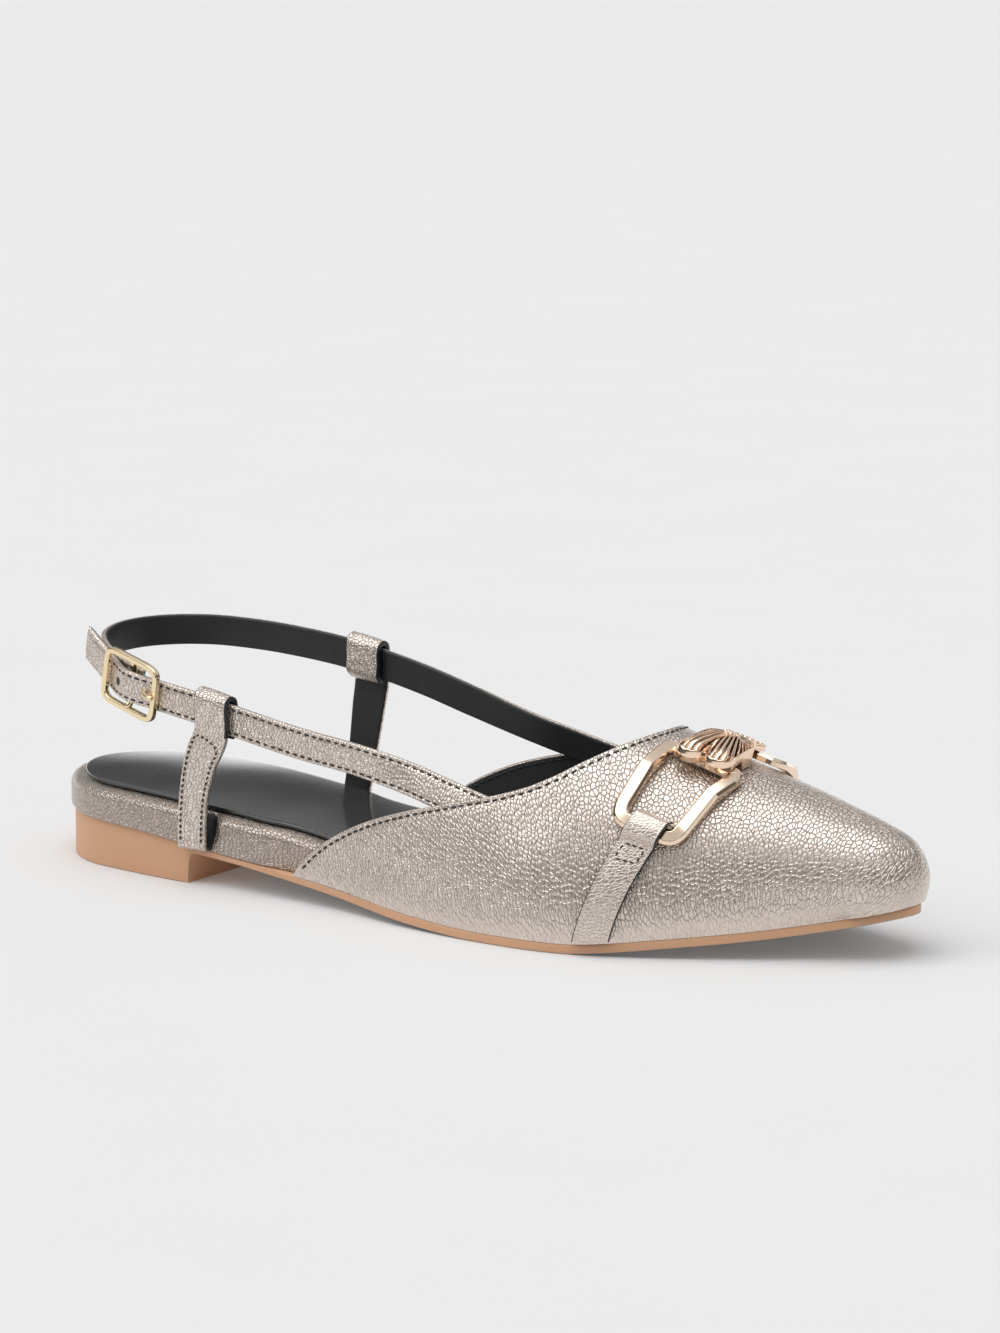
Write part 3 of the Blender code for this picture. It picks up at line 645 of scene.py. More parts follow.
class Nodes:
    """Node tree that is filled in by short calls."""

    def __init__(self, tree: bpy.types.NodeTree) -> None:
        """Keeps the tree."""
        self.tree = tree

    def node(self, kind: str, settings: dict, inputs: dict) -> bpy.types.Node:
        """Adds a node.

        Args:
            kind: Type of the node.
            settings: Properties that are set first.
            inputs: Values or links by socket name, identifier or index.

        Returns:
            The node.
        """
        made = self.tree.nodes.new(kind)
        for key, setting in settings.items():
            setattr(made, key, setting)
        for key, given in inputs.items():
            socket = made.inputs[key] if isinstance(key, int) else self._socket(made, key)
            self.feed(socket, given)
        return made

    @staticmethod
    def _socket(made: bpy.types.Node, key: str) -> Socket:
        """Input of a node by its identifier, or else by its name."""
        named = [socket for socket in made.inputs if socket.identifier == key]
        return named[0] if named else made.inputs[key]

    def feed(self, socket: Socket, given: object) -> None:
        """Links a value to a socket, or sets the socket to it.

        Args:
            socket: Socket that is fed.
            given: A value or another socket to link, or a number, colour or vector to set.
        """
        if isinstance(given, Value):
            self.tree.links.new(given.socket, socket)
        elif isinstance(given, Socket):
            self.tree.links.new(given, socket)
        elif isinstance(given, tuple) and socket.type == "RGBA":
            socket.default_value = (*given, 1.0)
        else:
            socket.default_value = given

    def place(self, kind: str = "Object") -> Socket:
        """Coordinates of one kind, those of the object in metres."""
        return self.node("ShaderNodeTexCoord", {}, {}).outputs[kind]

    def chart(self) -> Socket:
        """Lengths along the surface, in metres, kept at the mesh's corners."""
        return self.node("ShaderNodeAttribute", {"attribute_name": GRAIN_CHART}, {}).outputs["Vector"]

    def joined(self, x: Value, y: Value) -> Socket:
        """Vector of two numbers and a zero."""
        return self.node("ShaderNodeCombineXYZ", {}, {"X": x, "Y": y}).outputs[0]

    def axis(self, place: Socket, name: str) -> Value:
        """One coordinate of a place, X, Y or Z, in metres."""
        return Value(self, self.node("ShaderNodeSeparateXYZ", {}, {"Vector": place}).outputs[name])

    def noise(self, place: Socket, size: float) -> bpy.types.Node:
        """Noise with features of about the given size in millimetres."""
        return self.node("ShaderNodeTexNoise", {}, {"Vector": place, "Scale": 1 / (size * MM)})

    def speckle(self, place: Socket, size: float) -> Value:
        """Noise as a number."""
        return Value(self, self.noise(place, size).outputs["Fac"])

    def scaled(self, place: Socket, stretch: Triple) -> Socket:
        """Place whose axes are drawn together by a factor each."""
        inputs = {0: place, 1: stretch}
        return self.node("ShaderNodeVectorMath", {"operation": "MULTIPLY"}, inputs).outputs[0]

    def shifted(self, place: Socket, size: float, amount: float) -> Socket:
        """Place pushed about by noise.

        Args:
            place: Place to push.
            size: Size of the noise in millimetres.
            amount: Furthest push in millimetres.

        Returns:
            The new place.
        """
        drift = self.node(
            "ShaderNodeVectorMath",
            {"operation": "SUBTRACT"},
            {0: self.noise(place, size).outputs["Color"], 1: (0.5, 0.5, 0.5)},
        )
        pushed = self.node(
            "ShaderNodeVectorMath", {"operation": "SCALE"}, {0: drift.outputs[0], "Scale": 2 * amount * MM}
        )
        return self.node(
            "ShaderNodeVectorMath", {"operation": "ADD"}, {0: place, 1: pushed.outputs[0]}
        ).outputs[0]

    def tiling(self, place: Socket, size: float, start: From) -> bpy.types.Node:
        """Flat pattern of rounded cells.

        Args:
            place: Where the pattern is read.
            size: Width of a cell in millimetres.
            start: What the distance is measured from.

        Returns:
            The pattern's node.
        """
        return self.node(
            "ShaderNodeTexVoronoi",
            {"feature": start.value, "voronoi_dimensions": "2D"},
            {"Vector": place, "Scale": 1 / (size * MM)},
        )

    def cells(self, place: Socket, size: float, start: From) -> Value:
        """Distance in a pattern of cells, in widths of a cell."""
        return Value(self, self.tiling(place, size, start).outputs["Distance"])

    def cell_shade(self, place: Socket, size: float) -> Value:
        """Number from 0 to 1 that is the same all over each cell."""
        return self.axis(self.tiling(place, size, From.MIDDLE).outputs["Color"], "X")

    def mark(self) -> Value:
        """Number kept at the mesh's points."""
        return Value(self, self.node("ShaderNodeAttribute", {"attribute_name": MARK}, {}).outputs["Fac"])

    def mix(self, share: Value, first: object, second: object) -> Socket:
        """Colour between two others.

        Args:
            share: 0 for the first colour, 1 for the second.
            first: First colour.
            second: Second colour.

        Returns:
            The mixed colour.
        """
        made = self.node(
            "ShaderNodeMix",
            {"data_type": "RGBA"},
            {"Factor_Float": share, "A_Color": first, "B_Color": second},
        )
        return next(socket for socket in made.outputs if socket.identifier == "Result_Color")


class Shader(Nodes):
    """Node tree of one material, with the Principled shader that it feeds."""

    def __init__(
        self,
        name: str,
        roughness: float,
        metallic: float = 0.0,
        coat: float = 0.0,
        coat_roughness: float = 0.12,
    ) -> None:
        """Makes the material.

        Args:
            name: Name of the material.
            roughness: Roughness all over.
            metallic: Metallic value all over.
            coat: Weight of a clear coat.
            coat_roughness: Roughness of that coat.
        """
        self.material = bpy.data.materials.new(name)
        self.material.use_nodes = True
        super().__init__(self.material.node_tree)
        self.base = self.tree.nodes["Principled BSDF"]
        self.base.inputs["Roughness"].default_value = roughness
        self.base.inputs["Metallic"].default_value = metallic
        self.base.inputs["Coat Weight"].default_value = coat
        self.base.inputs["Coat Roughness"].default_value = coat_roughness

    def colour(self, given: object) -> None:
        """Sets or links the base colour."""
        self.feed(self.base.inputs["Base Color"], given)

    def rough(self, given: Value) -> None:
        """Links the roughness."""
        self.feed(self.base.inputs["Roughness"], given)

    def relief(self, height: Value, depth: float) -> None:
        """Raises the surface by a height of 0 to 1.

        Args:
            height: Height over the surface.
            depth: Millimetres that a height of 1 stands for.
        """
        made = self.node("ShaderNodeBump", {}, {"Strength": 1.0, "Distance": depth * MM, "Height": height})
        self.feed(self.base.inputs["Normal"], made.outputs["Normal"])


@dataclass(frozen=True)
class PebbledLeather:
    """Metallic leather with a pebbled grain: low, nearly flat pebbles with fine creases between them,
    darkened in colour as painted shade.

    Where the mesh is marked the grain is calm and streaked, as where leather is pulled over a last.
    """

    name: str
    pebble: float = 1.15
    depth: float = 0.34
    lean: float = 0.0
    draw: float = 0.9
    tops: Colour = (0.83, 0.727, 0.651)
    # Colour towards which the creases darken: painted shade.
    creases: Colour = (0.40, 0.345, 0.302)
    metallic: float = 0.85
    roughness: float = 0.29
    coat: float = 0.45
    warp_size: float = 2.2
    warp: float = 0.3
    cloud_size: float = 22.0
    cloud_tone: float = 0.2
    cloud_rough: float = 0.1
    ground_tone: float = 0.6
    pebble_tone: float = 0.26
    crease_reach: float = 0.11
    crease_rough: float = 0.12
    flank: float = 0.2
    flank_height: float = 0.36
    dome_height: float = 0.25
    dome_fall: float = 1.5
    calm_share: float = 0.35
    calm_tone: float = 0.3
    comb: Triple = (0.22, 1.0, 1.0)
    streak_size: float = 0.5
    streak_span: tuple[float, float] = (0.4, 0.75)
    streak_tone: float = 0.6
    streak: float = 0.35
    streak_full: float = 1.4

    def material(self) -> bpy.types.Material:
        """Makes the material.

        Returns:
            The material.
        """
        shader = Shader(self.name, self.roughness, self.metallic, self.coat, self.roughness)
        chart = shader.chart()
        across = shader.axis(chart, "X")
        leaning = shader.joined(across, shader.axis(chart, "Y") + across.size() * self.lean)
        warped = shader.shifted(leaning, self.warp_size * self.pebble, self.warp * self.pebble)
        drawn = shader.scaled(warped, (self.draw, 1.0, 1.0))
        from_middle = shader.cells(drawn, self.pebble, From.MIDDLE)
        from_crease = shader.cells(drawn, self.pebble, From.CREASE)
        each = shader.cell_shade(drawn, self.pebble)
        full = 1 - shader.mark() * (1 - self.calm_share)
        calm = 1 - full
        pulled = shader.speckle(shader.scaled(leaning, self.comb), self.streak_size)
        cloud = shader.speckle(shader.place(), self.cloud_size)
        # Painted shade: the colour darkens towards the crease colour close to each crease.
        crease = (1 - from_crease.between(0.0, self.crease_reach)) * full
        top = self.ground_tone + self.cloud_tone * cloud + self.pebble_tone * full * each
        top = top + self.calm_tone * calm
        tone = (1 - crease) * top - calm * pulled.between(*self.streak_span) * self.streak_tone
        shader.colour(shader.mix(tone, self.creases, self.tops))
        even = self.roughness - self.cloud_rough / 2
        shader.rough(crease * self.crease_rough + cloud * self.cloud_rough + even)
        dome = 1 - from_middle * from_middle * self.dome_fall
        pebbles = from_crease.between(0.0, self.flank) * self.flank_height + dome * self.dome_height
        shader.relief(pebbles * full + pulled * self.streak * (self.streak_full - full), self.depth)
        return shader.material


@dataclass(frozen=True)
class SatinLeather:
    """Smooth dark lining or sock leather with a very fine grain."""

    name: str
    tone: Colour = (0.016, 0.017, 0.017)
    lighter: Colour = (0.03, 0.031, 0.031)
    roughness: float = 0.38
    coat: float = 0.0
    depth: float = 0.03
    warp_size: float = 1.2
    warp: float = 0.2
    grain: float = 0.55
    grain_flank: float = 0.3
    cloud_size: float = 14.0
    cloud_rough: float = 0.12

    def material(self) -> bpy.types.Material:
        """Makes the material.

        Returns:
            The material.
        """
        shader = Shader(self.name, self.roughness, coat=self.coat)
        warped = shader.shifted(shader.chart(), self.warp_size, self.warp)
        grain = shader.cells(warped, self.grain, From.CREASE).between(0.0, self.grain_flank)
        cloud = shader.speckle(shader.place(), self.cloud_size)
        shader.colour(shader.mix(cloud, self.tone, self.lighter))
        shader.rough(cloud * self.cloud_rough + (self.roughness - self.cloud_rough / 2))
        shader.relief(grain, self.depth)
        return shader.material


@dataclass(frozen=True)
class MouldedSole:
    """Tan moulded sole with a satin skin: grey underneath, and dark round its bottom edge, as marked."""

    name: str = "sole_tan"
    tone: Colour = (0.66, 0.365, 0.21)
    lighter: Colour = (0.72, 0.418, 0.248)
    under: Colour = (0.50, 0.44, 0.40)
    edge: Colour = (0.035, 0.033, 0.032)
    roughness: float = 0.46
    cloud_size: float = 16.0
    speck_size: float = 0.5
    speck_rough: float = 0.1
    speck_depth: float = 0.02
    under_marks: tuple[float, float] = (0.0, 0.4)
    edge_marks: tuple[float, float] = (0.6, 0.9)

    def material(self) -> bpy.types.Material:
        """Makes the material.

        Returns:
            The material.
        """
        shader = Shader(self.name, self.roughness)
        place = shader.place()
        skin = shader.mix(shader.speckle(place, self.cloud_size), self.tone, self.lighter)
        speck = shader.speckle(place, self.speck_size)
        mark = shader.mark()
        above = shader.mix(mark.between(*self.under_marks), skin, self.under)
        shader.colour(shader.mix(mark.between(*self.edge_marks), above, self.edge))
        shader.rough(speck * self.speck_rough + (self.roughness - self.speck_rough / 2))
        shader.relief(speck, self.speck_depth)
        return shader.material


@dataclass(frozen=True)
class PolishedMetal:
    """Plated metal with slight casting waves, with painted shade in the grooves that the mesh marks."""

    name: str
    tone: Colour
    # Colour of the painted shade in the marked grooves.
    groove: Colour
    roughness: float = 0.14
    wave_size: float = 3.5
    wave_rough: float = 0.08
    wave_depth: float = 0.006

    def material(self) -> bpy.types.Material:
        """Makes the material.

        Returns:
            The material.
        """
        shader = Shader(self.name, self.roughness, metallic=1.0)
        wave = shader.speckle(shader.place(), self.wave_size)
        # Painted shade: the colour darkens towards the groove colour where the mesh marks grooves.
        shader.colour(shader.mix(shader.mark().between(0.0, 1.0), self.tone, self.groove))
        shader.rough(wave * self.wave_rough + (self.roughness - self.wave_rough / 2))
        shader.relief(wave, self.wave_depth)
        return shader.material


@dataclass(frozen=True)
class Thread:
    """Waxed black thread with a twist."""

    name: str = "thread_black"
    tone: Colour = (0.012, 0.012, 0.012)
    lighter: Colour = (0.035, 0.034, 0.033)
    roughness: float = 0.55
    ply_size: float = 0.25
    ply_depth: float = 0.05

    def material(self) -> bpy.types.Material:
        """Makes the material.

        Returns:
            The material.
        """
        shader = Shader(self.name, self.roughness)
        ply = shader.speckle(shader.place(), self.ply_size)
        shader.colour(shader.mix(ply, self.tone, self.lighter))
        shader.relief(ply, self.ply_depth)
        return shader.material


@dataclass(frozen=True)
class PaperFloor:
    """Pale seamless paper that glows a little, as painted light that makes the shadows on it lighter."""

    name: str = "paper_pale"
    tone: Colour = (0.711, 0.711, 0.711)
    lighter: Colour = (0.726, 0.726, 0.726)
    roughness: float = 0.9
    cloud_size: float = 60.0
    # Strength of the floor's glow: painted light that lifts its shadows.
    glow: float = 0.08

    def material(self) -> bpy.types.Material:
        """Makes the material.

        Returns:
            The material.
        """
        shader = Shader(self.name, self.roughness)
        shader.colour(shader.mix(shader.speckle(shader.place(), self.cloud_size), self.tone, self.lighter))
        # Painted light: the floor glows faintly so that the shoe's shadows on it are lighter.
        shader.base.inputs["Emission Color"].default_value = (1.0, 1.0, 1.0, 1.0)
        shader.base.inputs["Emission Strength"].default_value = self.glow
        return shader.material


class Finishes:
    """The shoe's materials, each made once."""

    def __init__(self) -> None:
        """Makes the materials."""
        strap_tone = (0.83, 0.727, 0.65)
        # Painted shade: the band's leather is the pewter leather darkened, for its side that faces down into
        # darker surroundings.
        band_shaded_tone = (0.5, 0.421, 0.368)
        sock_tones = ((0.022, 0.023, 0.022), (0.034, 0.034, 0.033))
        self.vamp = PebbledLeather("leather_vamp", lean=0.5, draw=0.75).material()
        self.strap = PebbledLeather("leather_strap", pebble=1.0, depth=0.24, tops=strap_tone).material()
        self.band = PebbledLeather("leather_band", pebble=1.1, tops=band_shaded_tone).material()
        self.lining = SatinLeather("lining_black").material()
        self.sock = SatinLeather("sock_black", *sock_tones, roughness=0.16, coat=1.0, depth=0.002).material()
        self.sole = MouldedSole().material()
        # The second colour of each metal is its painted groove shade; only the rosette's mesh marks grooves.
        self.gold = PolishedMetal("gold_pale", (0.95, 0.78, 0.51), (0.3, 0.2, 0.1)).material()
        self.warm = PolishedMetal("gold_warm", (0.93, 0.74, 0.57), (0.3, 0.2, 0.1)).material()
        self.rose = PolishedMetal("gold_rose", (0.98, 0.73, 0.55), (0.10, 0.04, 0.02), 0.12).material()
        self.thread = Thread().material()


# The last

@dataclass(frozen=True)
class Last:
    """Shape of the last and of the sole under it, from which every surface of the shoe is worked out.

    Sizes that pieces share are kept with it.
    """

    length: float = 257.0
    heel_round: float = 26.0
    toe_round: float = 12.0
    gap: float = 0.3
    wall: float = 1.7
    sole_seat: float = 0.04
    band_height: float = 9.1
    band_inset: float = 0.2
    stay_width: float = 9.0
    wall_bulge: float = 0.03
    bulge_height: float = 0.28
    bulge_fade: float = 0.15
    normal_step: float = 0.004
    normal_end: float = 0.965
    slide_step: float = 0.002

    def swing(self, x: Numbers) -> Array:
        """How far the sole's middle swings to the inner side."""
        return along(OUTLINE, "share", "swing", x / self.length)

    def half_width(self, side: Side, x: Numbers) -> Array:
        """Half width of the sole on one side."""
        return along(OUTLINE, "share", side.word, x / self.length)

    def underside(self, x: Numbers) -> Array:
        """Height of the sole's underside, leaving out the heel."""
        return np.maximum(along(SOLE_PROFILE, "share", "height", x / self.length), 0.0)

    def sole_top(self, x: Numbers) -> Array:
        """Height of the sole's upper edge."""
        return self.underside(x) + along(SOLE_PROFILE, "share", "thickness", x / self.length)

    def outline(self, count: int, extra: Sequence[float] = ()) -> Array:
        """Outline seen from above: heel point, outer side to the toe, toe point, inner side back again.

        Args:
            count: Points on each side.
            extra: Further places along the length where points are wanted.

        Returns:
            Rows of x and y.
        """
        turn = np.arange(1, count + 1) * np.pi / (count + 1)
        x = np.sort(np.concatenate([self.length * (1 - np.cos(turn)) / 2, extra]))
        heel = np.clip(1 - x / self.heel_round, 0, 1)
        toe = np.clip(1 - (self.length - x) / self.toe_round, 0, 1)
        closing = np.sqrt(1 - heel**2) * np.sqrt(1 - toe**2)
        lateral = self.swing(x) - closing * self.half_width(Side.LATERAL, x)
        medial = self.swing(x) + closing * self.half_width(Side.MEDIAL, x)
        ends = np.array([[0.0, 0.0], [self.length, OUTLINE[-1].swing]])
        outer_side = np.stack([x, lateral], axis=1)
        inner_side = np.stack([x, medial], axis=1)[::-1]
        return np.concatenate([ends[:1], outer_side, ends[1:], inner_side])

    def station_of(self, x: Numbers) -> Array:
        """Section of the upper whose ridge stands at x."""
        return np.interp(x, column(STATIONS, "ridge_x")[:-1], STATION_SHARE[:-1])

    def point(self, station: Numbers, arc: Numbers) -> Array:
        """Outside of the upper.

        Args:
            station: 0 at the waist to 1 at the toe.
            arc: 0 at the outer side's edge to 1 at the inner side's.

        Returns:
            Points of the surface.
        """
        station, arc = np.broadcast_arrays(station, arc)
        foot_x, ridge_x, ridge_z, fullness = (
            smooth(STATION_SHARE, column(STATIONS, name), station) for name in StationRow._fields
        )
        seat = self.sole_top(foot_x) + self.gap
        lateral = self.swing(foot_x) - self.half_width(Side.LATERAL, foot_x)
        medial = self.swing(foot_x) + self.half_width(Side.MEDIAL, foot_x)
        middle = np.stack([foot_x, (lateral + medial) / 2, seat], axis=-1)
        half = np.stack([np.zeros_like(seat), (medial - lateral) / 2, np.zeros_like(seat)], axis=-1)
        ridge = np.stack([ridge_x, self.swing(np.minimum(ridge_x, self.length)), ridge_z], axis=-1)
        turn = np.pi * (1 - arc)
        sideways = signed_power(np.cos(turn), 2 / fullness)
        height = np.abs(np.sin(turn)) ** (2 / fullness)
        low = height / self.bulge_height
        fade = np.clip((1 - station) / self.bulge_fade, 0, 1)
        bulge = 1 + self.wall_bulge * fade * low * np.exp(1 - low)
        return middle + (sideways * bulge)[..., None] * half + height[..., None] * (ridge - middle)

    def normal(self, station: Numbers, arc: Numbers) -> Array:
        """Outward direction of the upper. At the rims, where the lines run together, it is read just inside.

        Args:
            station: 0 at the waist to 1 at the toe.
            arc: 0 at the outer side's edge to 1 at the inner side's.

        Returns:
            Directions of length 1.
        """
        step = self.normal_step
        station = np.clip(station, step, self.normal_end)
        arc = np.clip(arc, 2 * step, 1 - 2 * step)
        return unit(np.cross(*self.slopes(station, arc, step)))

    def slopes(self, station: Array, arc: Array, step: float) -> tuple[Array, Array]:
        """How far the surface runs over two steps of the station, and over two of the arc.

        Args:
            station: Stations of the places.
            arc: Arcs of the places.
            step: The step.

        Returns:
            Vectors along the station and along the arc.
        """
        run = self.point(station + step, arc) - self.point(station - step, arc)
        rise = self.point(station, arc + step) - self.point(station, arc - step)
        return run, rise

    def slide(self, station: Array, arc: Array, move: Array) -> tuple[Array, Array]:
        """Station and arc of the places reached by moving along the surface.

        Args:
            station: Stations to start from.
            arc: Arcs to start from.
            move: Moves in millimetres, near the surface.

        Returns:
            The new stations and arcs.
        """
        run, rise = (slope / (2 * self.slide_step) for slope in self.slopes(station, arc, self.slide_step))
        run_run = np.sum(run * run, axis=-1)
        run_rise = np.sum(run * rise, axis=-1)
        rise_rise = np.sum(rise * rise, axis=-1)
        run_move = np.sum(run * move, axis=-1)
        rise_move = np.sum(rise * move, axis=-1)
        area = run_run * rise_rise - run_rise * run_rise
        further = (rise_rise * run_move - run_rise * rise_move) / area
        higher = (run_run * rise_move - run_rise * run_move) / area
        return station + further, arc + higher

    def on_side(self, x: Numbers, arc: Numbers, lift: Numbers) -> Array:
        """Places over the upper's surface."""
        station, arc, lift = np.broadcast_arrays(self.station_of(x), arc, lift)
        return self.point(station, arc) + lift[..., None] * self.normal(station, arc)

    def collar_start(self, arc: Array) -> Array:
        """Station where the upper starts.

        Args:
            arc: Arcs along the collar.

        Returns:
            The stations.
        """
        lateral = along(COLLAR, "arc", "lateral", np.minimum(arc, 0.5))
        medial = along(COLLAR, "arc", "medial", np.minimum(1 - arc, 0.5))
        return self.station_of(np.where(arc < 0.5, lateral, medial))


def drawn_in(ring: Array, amount: Numbers) -> Array:
    """Outline moved inwards.

    Args:
        ring: Rows of x and y, going round with the inside on the left.
        amount: How far, which may change along the outline.

    Returns:
        The new outline.
    """
    ahead = ring_heading(ring)
    inward = np.stack([-ahead[:, 1], ahead[:, 0]], axis=1)
    return ring + inward * np.reshape(amount, (-1, 1))


def to_spine(ring: Array, share: float) -> Array:
    """Outline drawn towards its middle line: share 0 leaves it, share 1 lays both sides on that line."""
    partner = ring[(-np.arange(len(ring))) % len(ring)]
    return ring + share * ((ring + partner) / 2 - ring)


def raised(ring: Array, height: Numbers) -> Array:
    """Outline at a height that may change along it."""
    return np.concatenate([ring, np.reshape(height, (-1, 1)) * np.ones((len(ring), 1))], axis=1)


def drawn_together(ring: Array, share: float) -> Array:
    """Outline with its heights, drawn towards its middle line at those heights."""
    return np.concatenate([to_spine(ring[:, :2], share), ring[:, 2:]], axis=1)


# Sub-assemblies

@dataclass
class Bottom:
    """Moulded sole with its heel, the wrapped footbed and the padded sock."""

    last: Last
    finishes: Finishes
    side_points: int = 120
    sole_thickness: float = 2.5
    edge_round: float = 0.35
    under_shares: tuple[float, ...] = (1.0, 0.7, 0.4, 0.15)
    dark_rings: int = 3
    under_mark: float = 0.5
    waist_x: float = 72.0
    breast_x: float = 56.5
    breast_run: float = 2.6
    breast_points: int = 14
    heel_inset: float = 1.2
    heel_inset_end: float = 84.0
    tuck_behind: tuple[float, float] = (14.0, 2.0)
    band_shoulder: float = 3.0
    band_foot_round: float = 0.5
    pinch_span: tuple[float, float] = (54.0, 90.0)
    pinch_points: int = 140
    pinch_reach: float = 2.2
    pinch_depth: float = 2.2
    pinch_at_foot: float = 0.15
    # Painted shade: the band in front of each stay takes the lining's black where the gap beside the stay is
    # in shadow.
    painted_shade_reach: float = 3.2
    painted_shade_back: float = 0.45
    painted_shade_rows: int = 13
    board_drop: float = 4.5
    board_taper: tuple[float, float] = (102.0, 150.0)
    sock_inset: float = 4.0
    sock_inset_in_toe: float = 1.0
    sock_thickness: float = 1.1
    sock_edge_round: float = 0.45
    sock_crown: float = 2.1
    sock_fill: float = 0.85

    def build(self) -> None:
        """Builds and dresses the three pieces."""
        add_piece("sole_unit", self.sole(), [self.finishes.sole], ["outsole"])
        leather = [self.finishes.band, self.finishes.lining]
        add_piece("footbed_wrap", self.footbed(), leather, ["footbed"])
        sock = add_piece("sock_pad", self.sock(), [self.finishes.sock], ["insole"])

    def sole(self) -> Shape:
        """Sole whose underside drops to the floor behind the heel's breast.

        Returns:
            Its shape, marked on the underside and round the bottom edge.
        """
        steps = np.linspace(0, 1, self.breast_points) ** 2
        full = self.last.outline(self.side_points, self.breast_x + self.breast_run * steps)
        x = full[:, 0]
        rim = drawn_in(full, self.heel_inset * (1 - ease(self.breast_x, self.heel_inset_end, x)))
        ahead = np.clip((x - self.breast_x) / self.breast_run, 0, 1)
        under = self.last.underside(x) * np.sqrt(1 - (1 - ahead) ** 4)
        top = self.last.sole_top(x)
        low = drawn_in(rim, self.edge_round)
        rings = [raised(to_spine(low, share), under) for share in self.under_shares]
        for turn in np.linspace(0, np.pi / 2, 5):
            ring = drawn_in(rim, self.edge_round * (1 - np.sin(turn)))
            rings.append(raised(ring, under + self.edge_round * (1 - np.cos(turn))))
        for share in (0.3, 0.6, 0.9):
            rings.append(raised(rim, under + self.edge_round + share * (top - under - self.edge_round)))
        inner = drawn_in(rim, self.edge_round / 2)
        rings += [raised(to_spine(inner, share), top) for share in (0.0, 0.3, 1.0)]
        points = closed_round(np.array(rings))
        marks = np.zeros(points.shape[:2])
        edge_ring = len(self.under_shares)
        marks[:edge_ring] = self.under_mark
        marks[edge_ring:edge_ring + self.dark_rings] = 1.0
        in_waist = (points[..., 0] > self.breast_x - 1) & (points[..., 0] < self.waist_x)
        return draped(points, None, marks * ~in_waist)

    def inset(self, x: Array) -> Array:
        """How far the footbed stands in from the outline: flush at the heel, inside the upper in front."""
        start, end = (WING_END - behind for behind in self.tuck_behind)
        return self.last.band_inset + (self.last.wall + self.last.gap) * ease(start, end, x)

    def from_stay(self, outline: Array) -> Array:
        """How far each place of the outline lies in front of its stay's edge."""
        outer, inner = (STAYS[side].base_x + self.last.stay_width / 2 + self.last.gap for side in Side)
        return outline[:, 0] - np.where(outline[:, 1] < 0, outer, inner)

    def pinch(self, outline: Array) -> Array:
        """How far each stay's front edge presses the band in."""
        return self.pinch_depth * bump_at(self.from_stay(outline), self.pinch_reach)

    def gap(self, outline: Array) -> Array:
        """Painted shade in front of each stay: where the band takes the lining's black as the gap's shadow,
        broadest a little over the middle of the band.

        Args:
            outline: Rows of x and y.

        Returns:
            Whether each place lies in the painted shade, row by row up the band.
        """
        share = np.linspace(0, 1, self.painted_shade_rows)[:, None]
        ahead = self.from_stay(outline)
        front = self.painted_shade_reach * share * np.sqrt(1 - share**2) - self.painted_shade_back
        return (ahead > -self.painted_shade_reach) & (ahead < front)

    def band_top(self, x: Array) -> Array:
        """Height of the footbed's top."""
        thick = self.last.band_height - self.board_drop * ease(*self.board_taper, x)
        return self.last.underside(x) + self.sole_thickness + self.last.gap + thick

    def footbed(self) -> Shape:
        """Padded band round the heel that thins to a board inside the upper.

        Returns:
            Its shape, with the lining's black painted as shade in the gaps in front of the stays.
        """
        outline = self.last.outline(self.side_points, np.linspace(*self.pinch_span, self.pinch_points))
        pinch = self.pinch(outline)
        inset = self.inset(outline[:, 0]) + pinch
        foot_inset = inset - (1 - self.pinch_at_foot) * pinch
        rings = []
        for turn in np.linspace(0, np.pi / 2, 5):
            ring = drawn_in(outline, foot_inset + self.band_foot_round * (1 - np.sin(turn)))
            foot = self.last.sole_top(ring[:, 0]) + self.last.sole_seat
            rings.append(raised(ring, foot + self.band_foot_round * (1 - np.cos(turn))))
        wall_foot = rings[-1]
        shoulder = []
        for turn in np.linspace(0, np.pi / 2, 9):
            ring = drawn_in(outline, inset + self.band_shoulder * (1 - np.cos(turn)))
            height = self.band_top(ring[:, 0]) - self.band_shoulder * (1 - np.sin(turn))
            shoulder.append(raised(ring, height))
        below = [drawn_together(rings[0], share) for share in (1.0, 0.5)]
        walls = [wall_foot + share * (shoulder[0] - wall_foot) for share in (0.25, 0.5, 0.75)]
        above = [drawn_together(shoulder[-1], share) for share in (0.2, 0.6, 1.0)]
        points = closed_round(np.array(below + rings + walls + shoulder + above))
        dress = np.zeros((len(points) - 1, points.shape[1] - 1))
        # Painted shade: these quads take the lining's black where the gap in front of each stay is in
        # shadow.
        dress[len(below):len(below) + self.painted_shade_rows] = self.gap(outline)
        return draped(points, dress)

    def sock(self) -> Shape:
        """Padded sock on the footbed, with a soft edge and a low crown.

        Returns:
            Its shape.
        """
        outline = self.last.outline(self.side_points)
        x = outline[:, 0]
        toe_share = ease(WING_END, self.board_taper[1], x)
        inset = self.inset(x) + self.sock_inset + (self.sock_inset_in_toe - self.sock_inset) * toe_share
        rim = self.sock_edge_round
        rings = []
        for turn in np.linspace(-np.pi / 2, np.pi / 2, 11):
            middle = rim if turn < 0 else self.sock_thickness - rim
            ring = drawn_in(outline, inset + rim * (1 - np.cos(turn)))
            rings.append(self.level(ring, middle + rim * np.sin(turn)))
        first = rings[0][:, :2]
        final = rings[-1][:, :2]
        below = [self.level(to_spine(first, share), 0.0) for share in (1.0, 0.5)]
        half = np.abs(final - to_spine(final, 1.0))[:, 1]
        crown = self.sock_crown * (half / np.max(half)) ** 2
        above = [
            self.level(to_spine(final, share), self.sock_thickness + crown * (1 - (1 - share) ** 2))
            for share in np.linspace(0, 1, 16)[1:]
        ]
        return draped(closed_round(np.array(below + rings + above)))

    def level(self, ring: Array, rise: Numbers) -> Array:
        """Outline laid a little over the footbed's top."""
        return raised(ring, self.band_top(ring[:, 0]) + self.last.gap + rise)


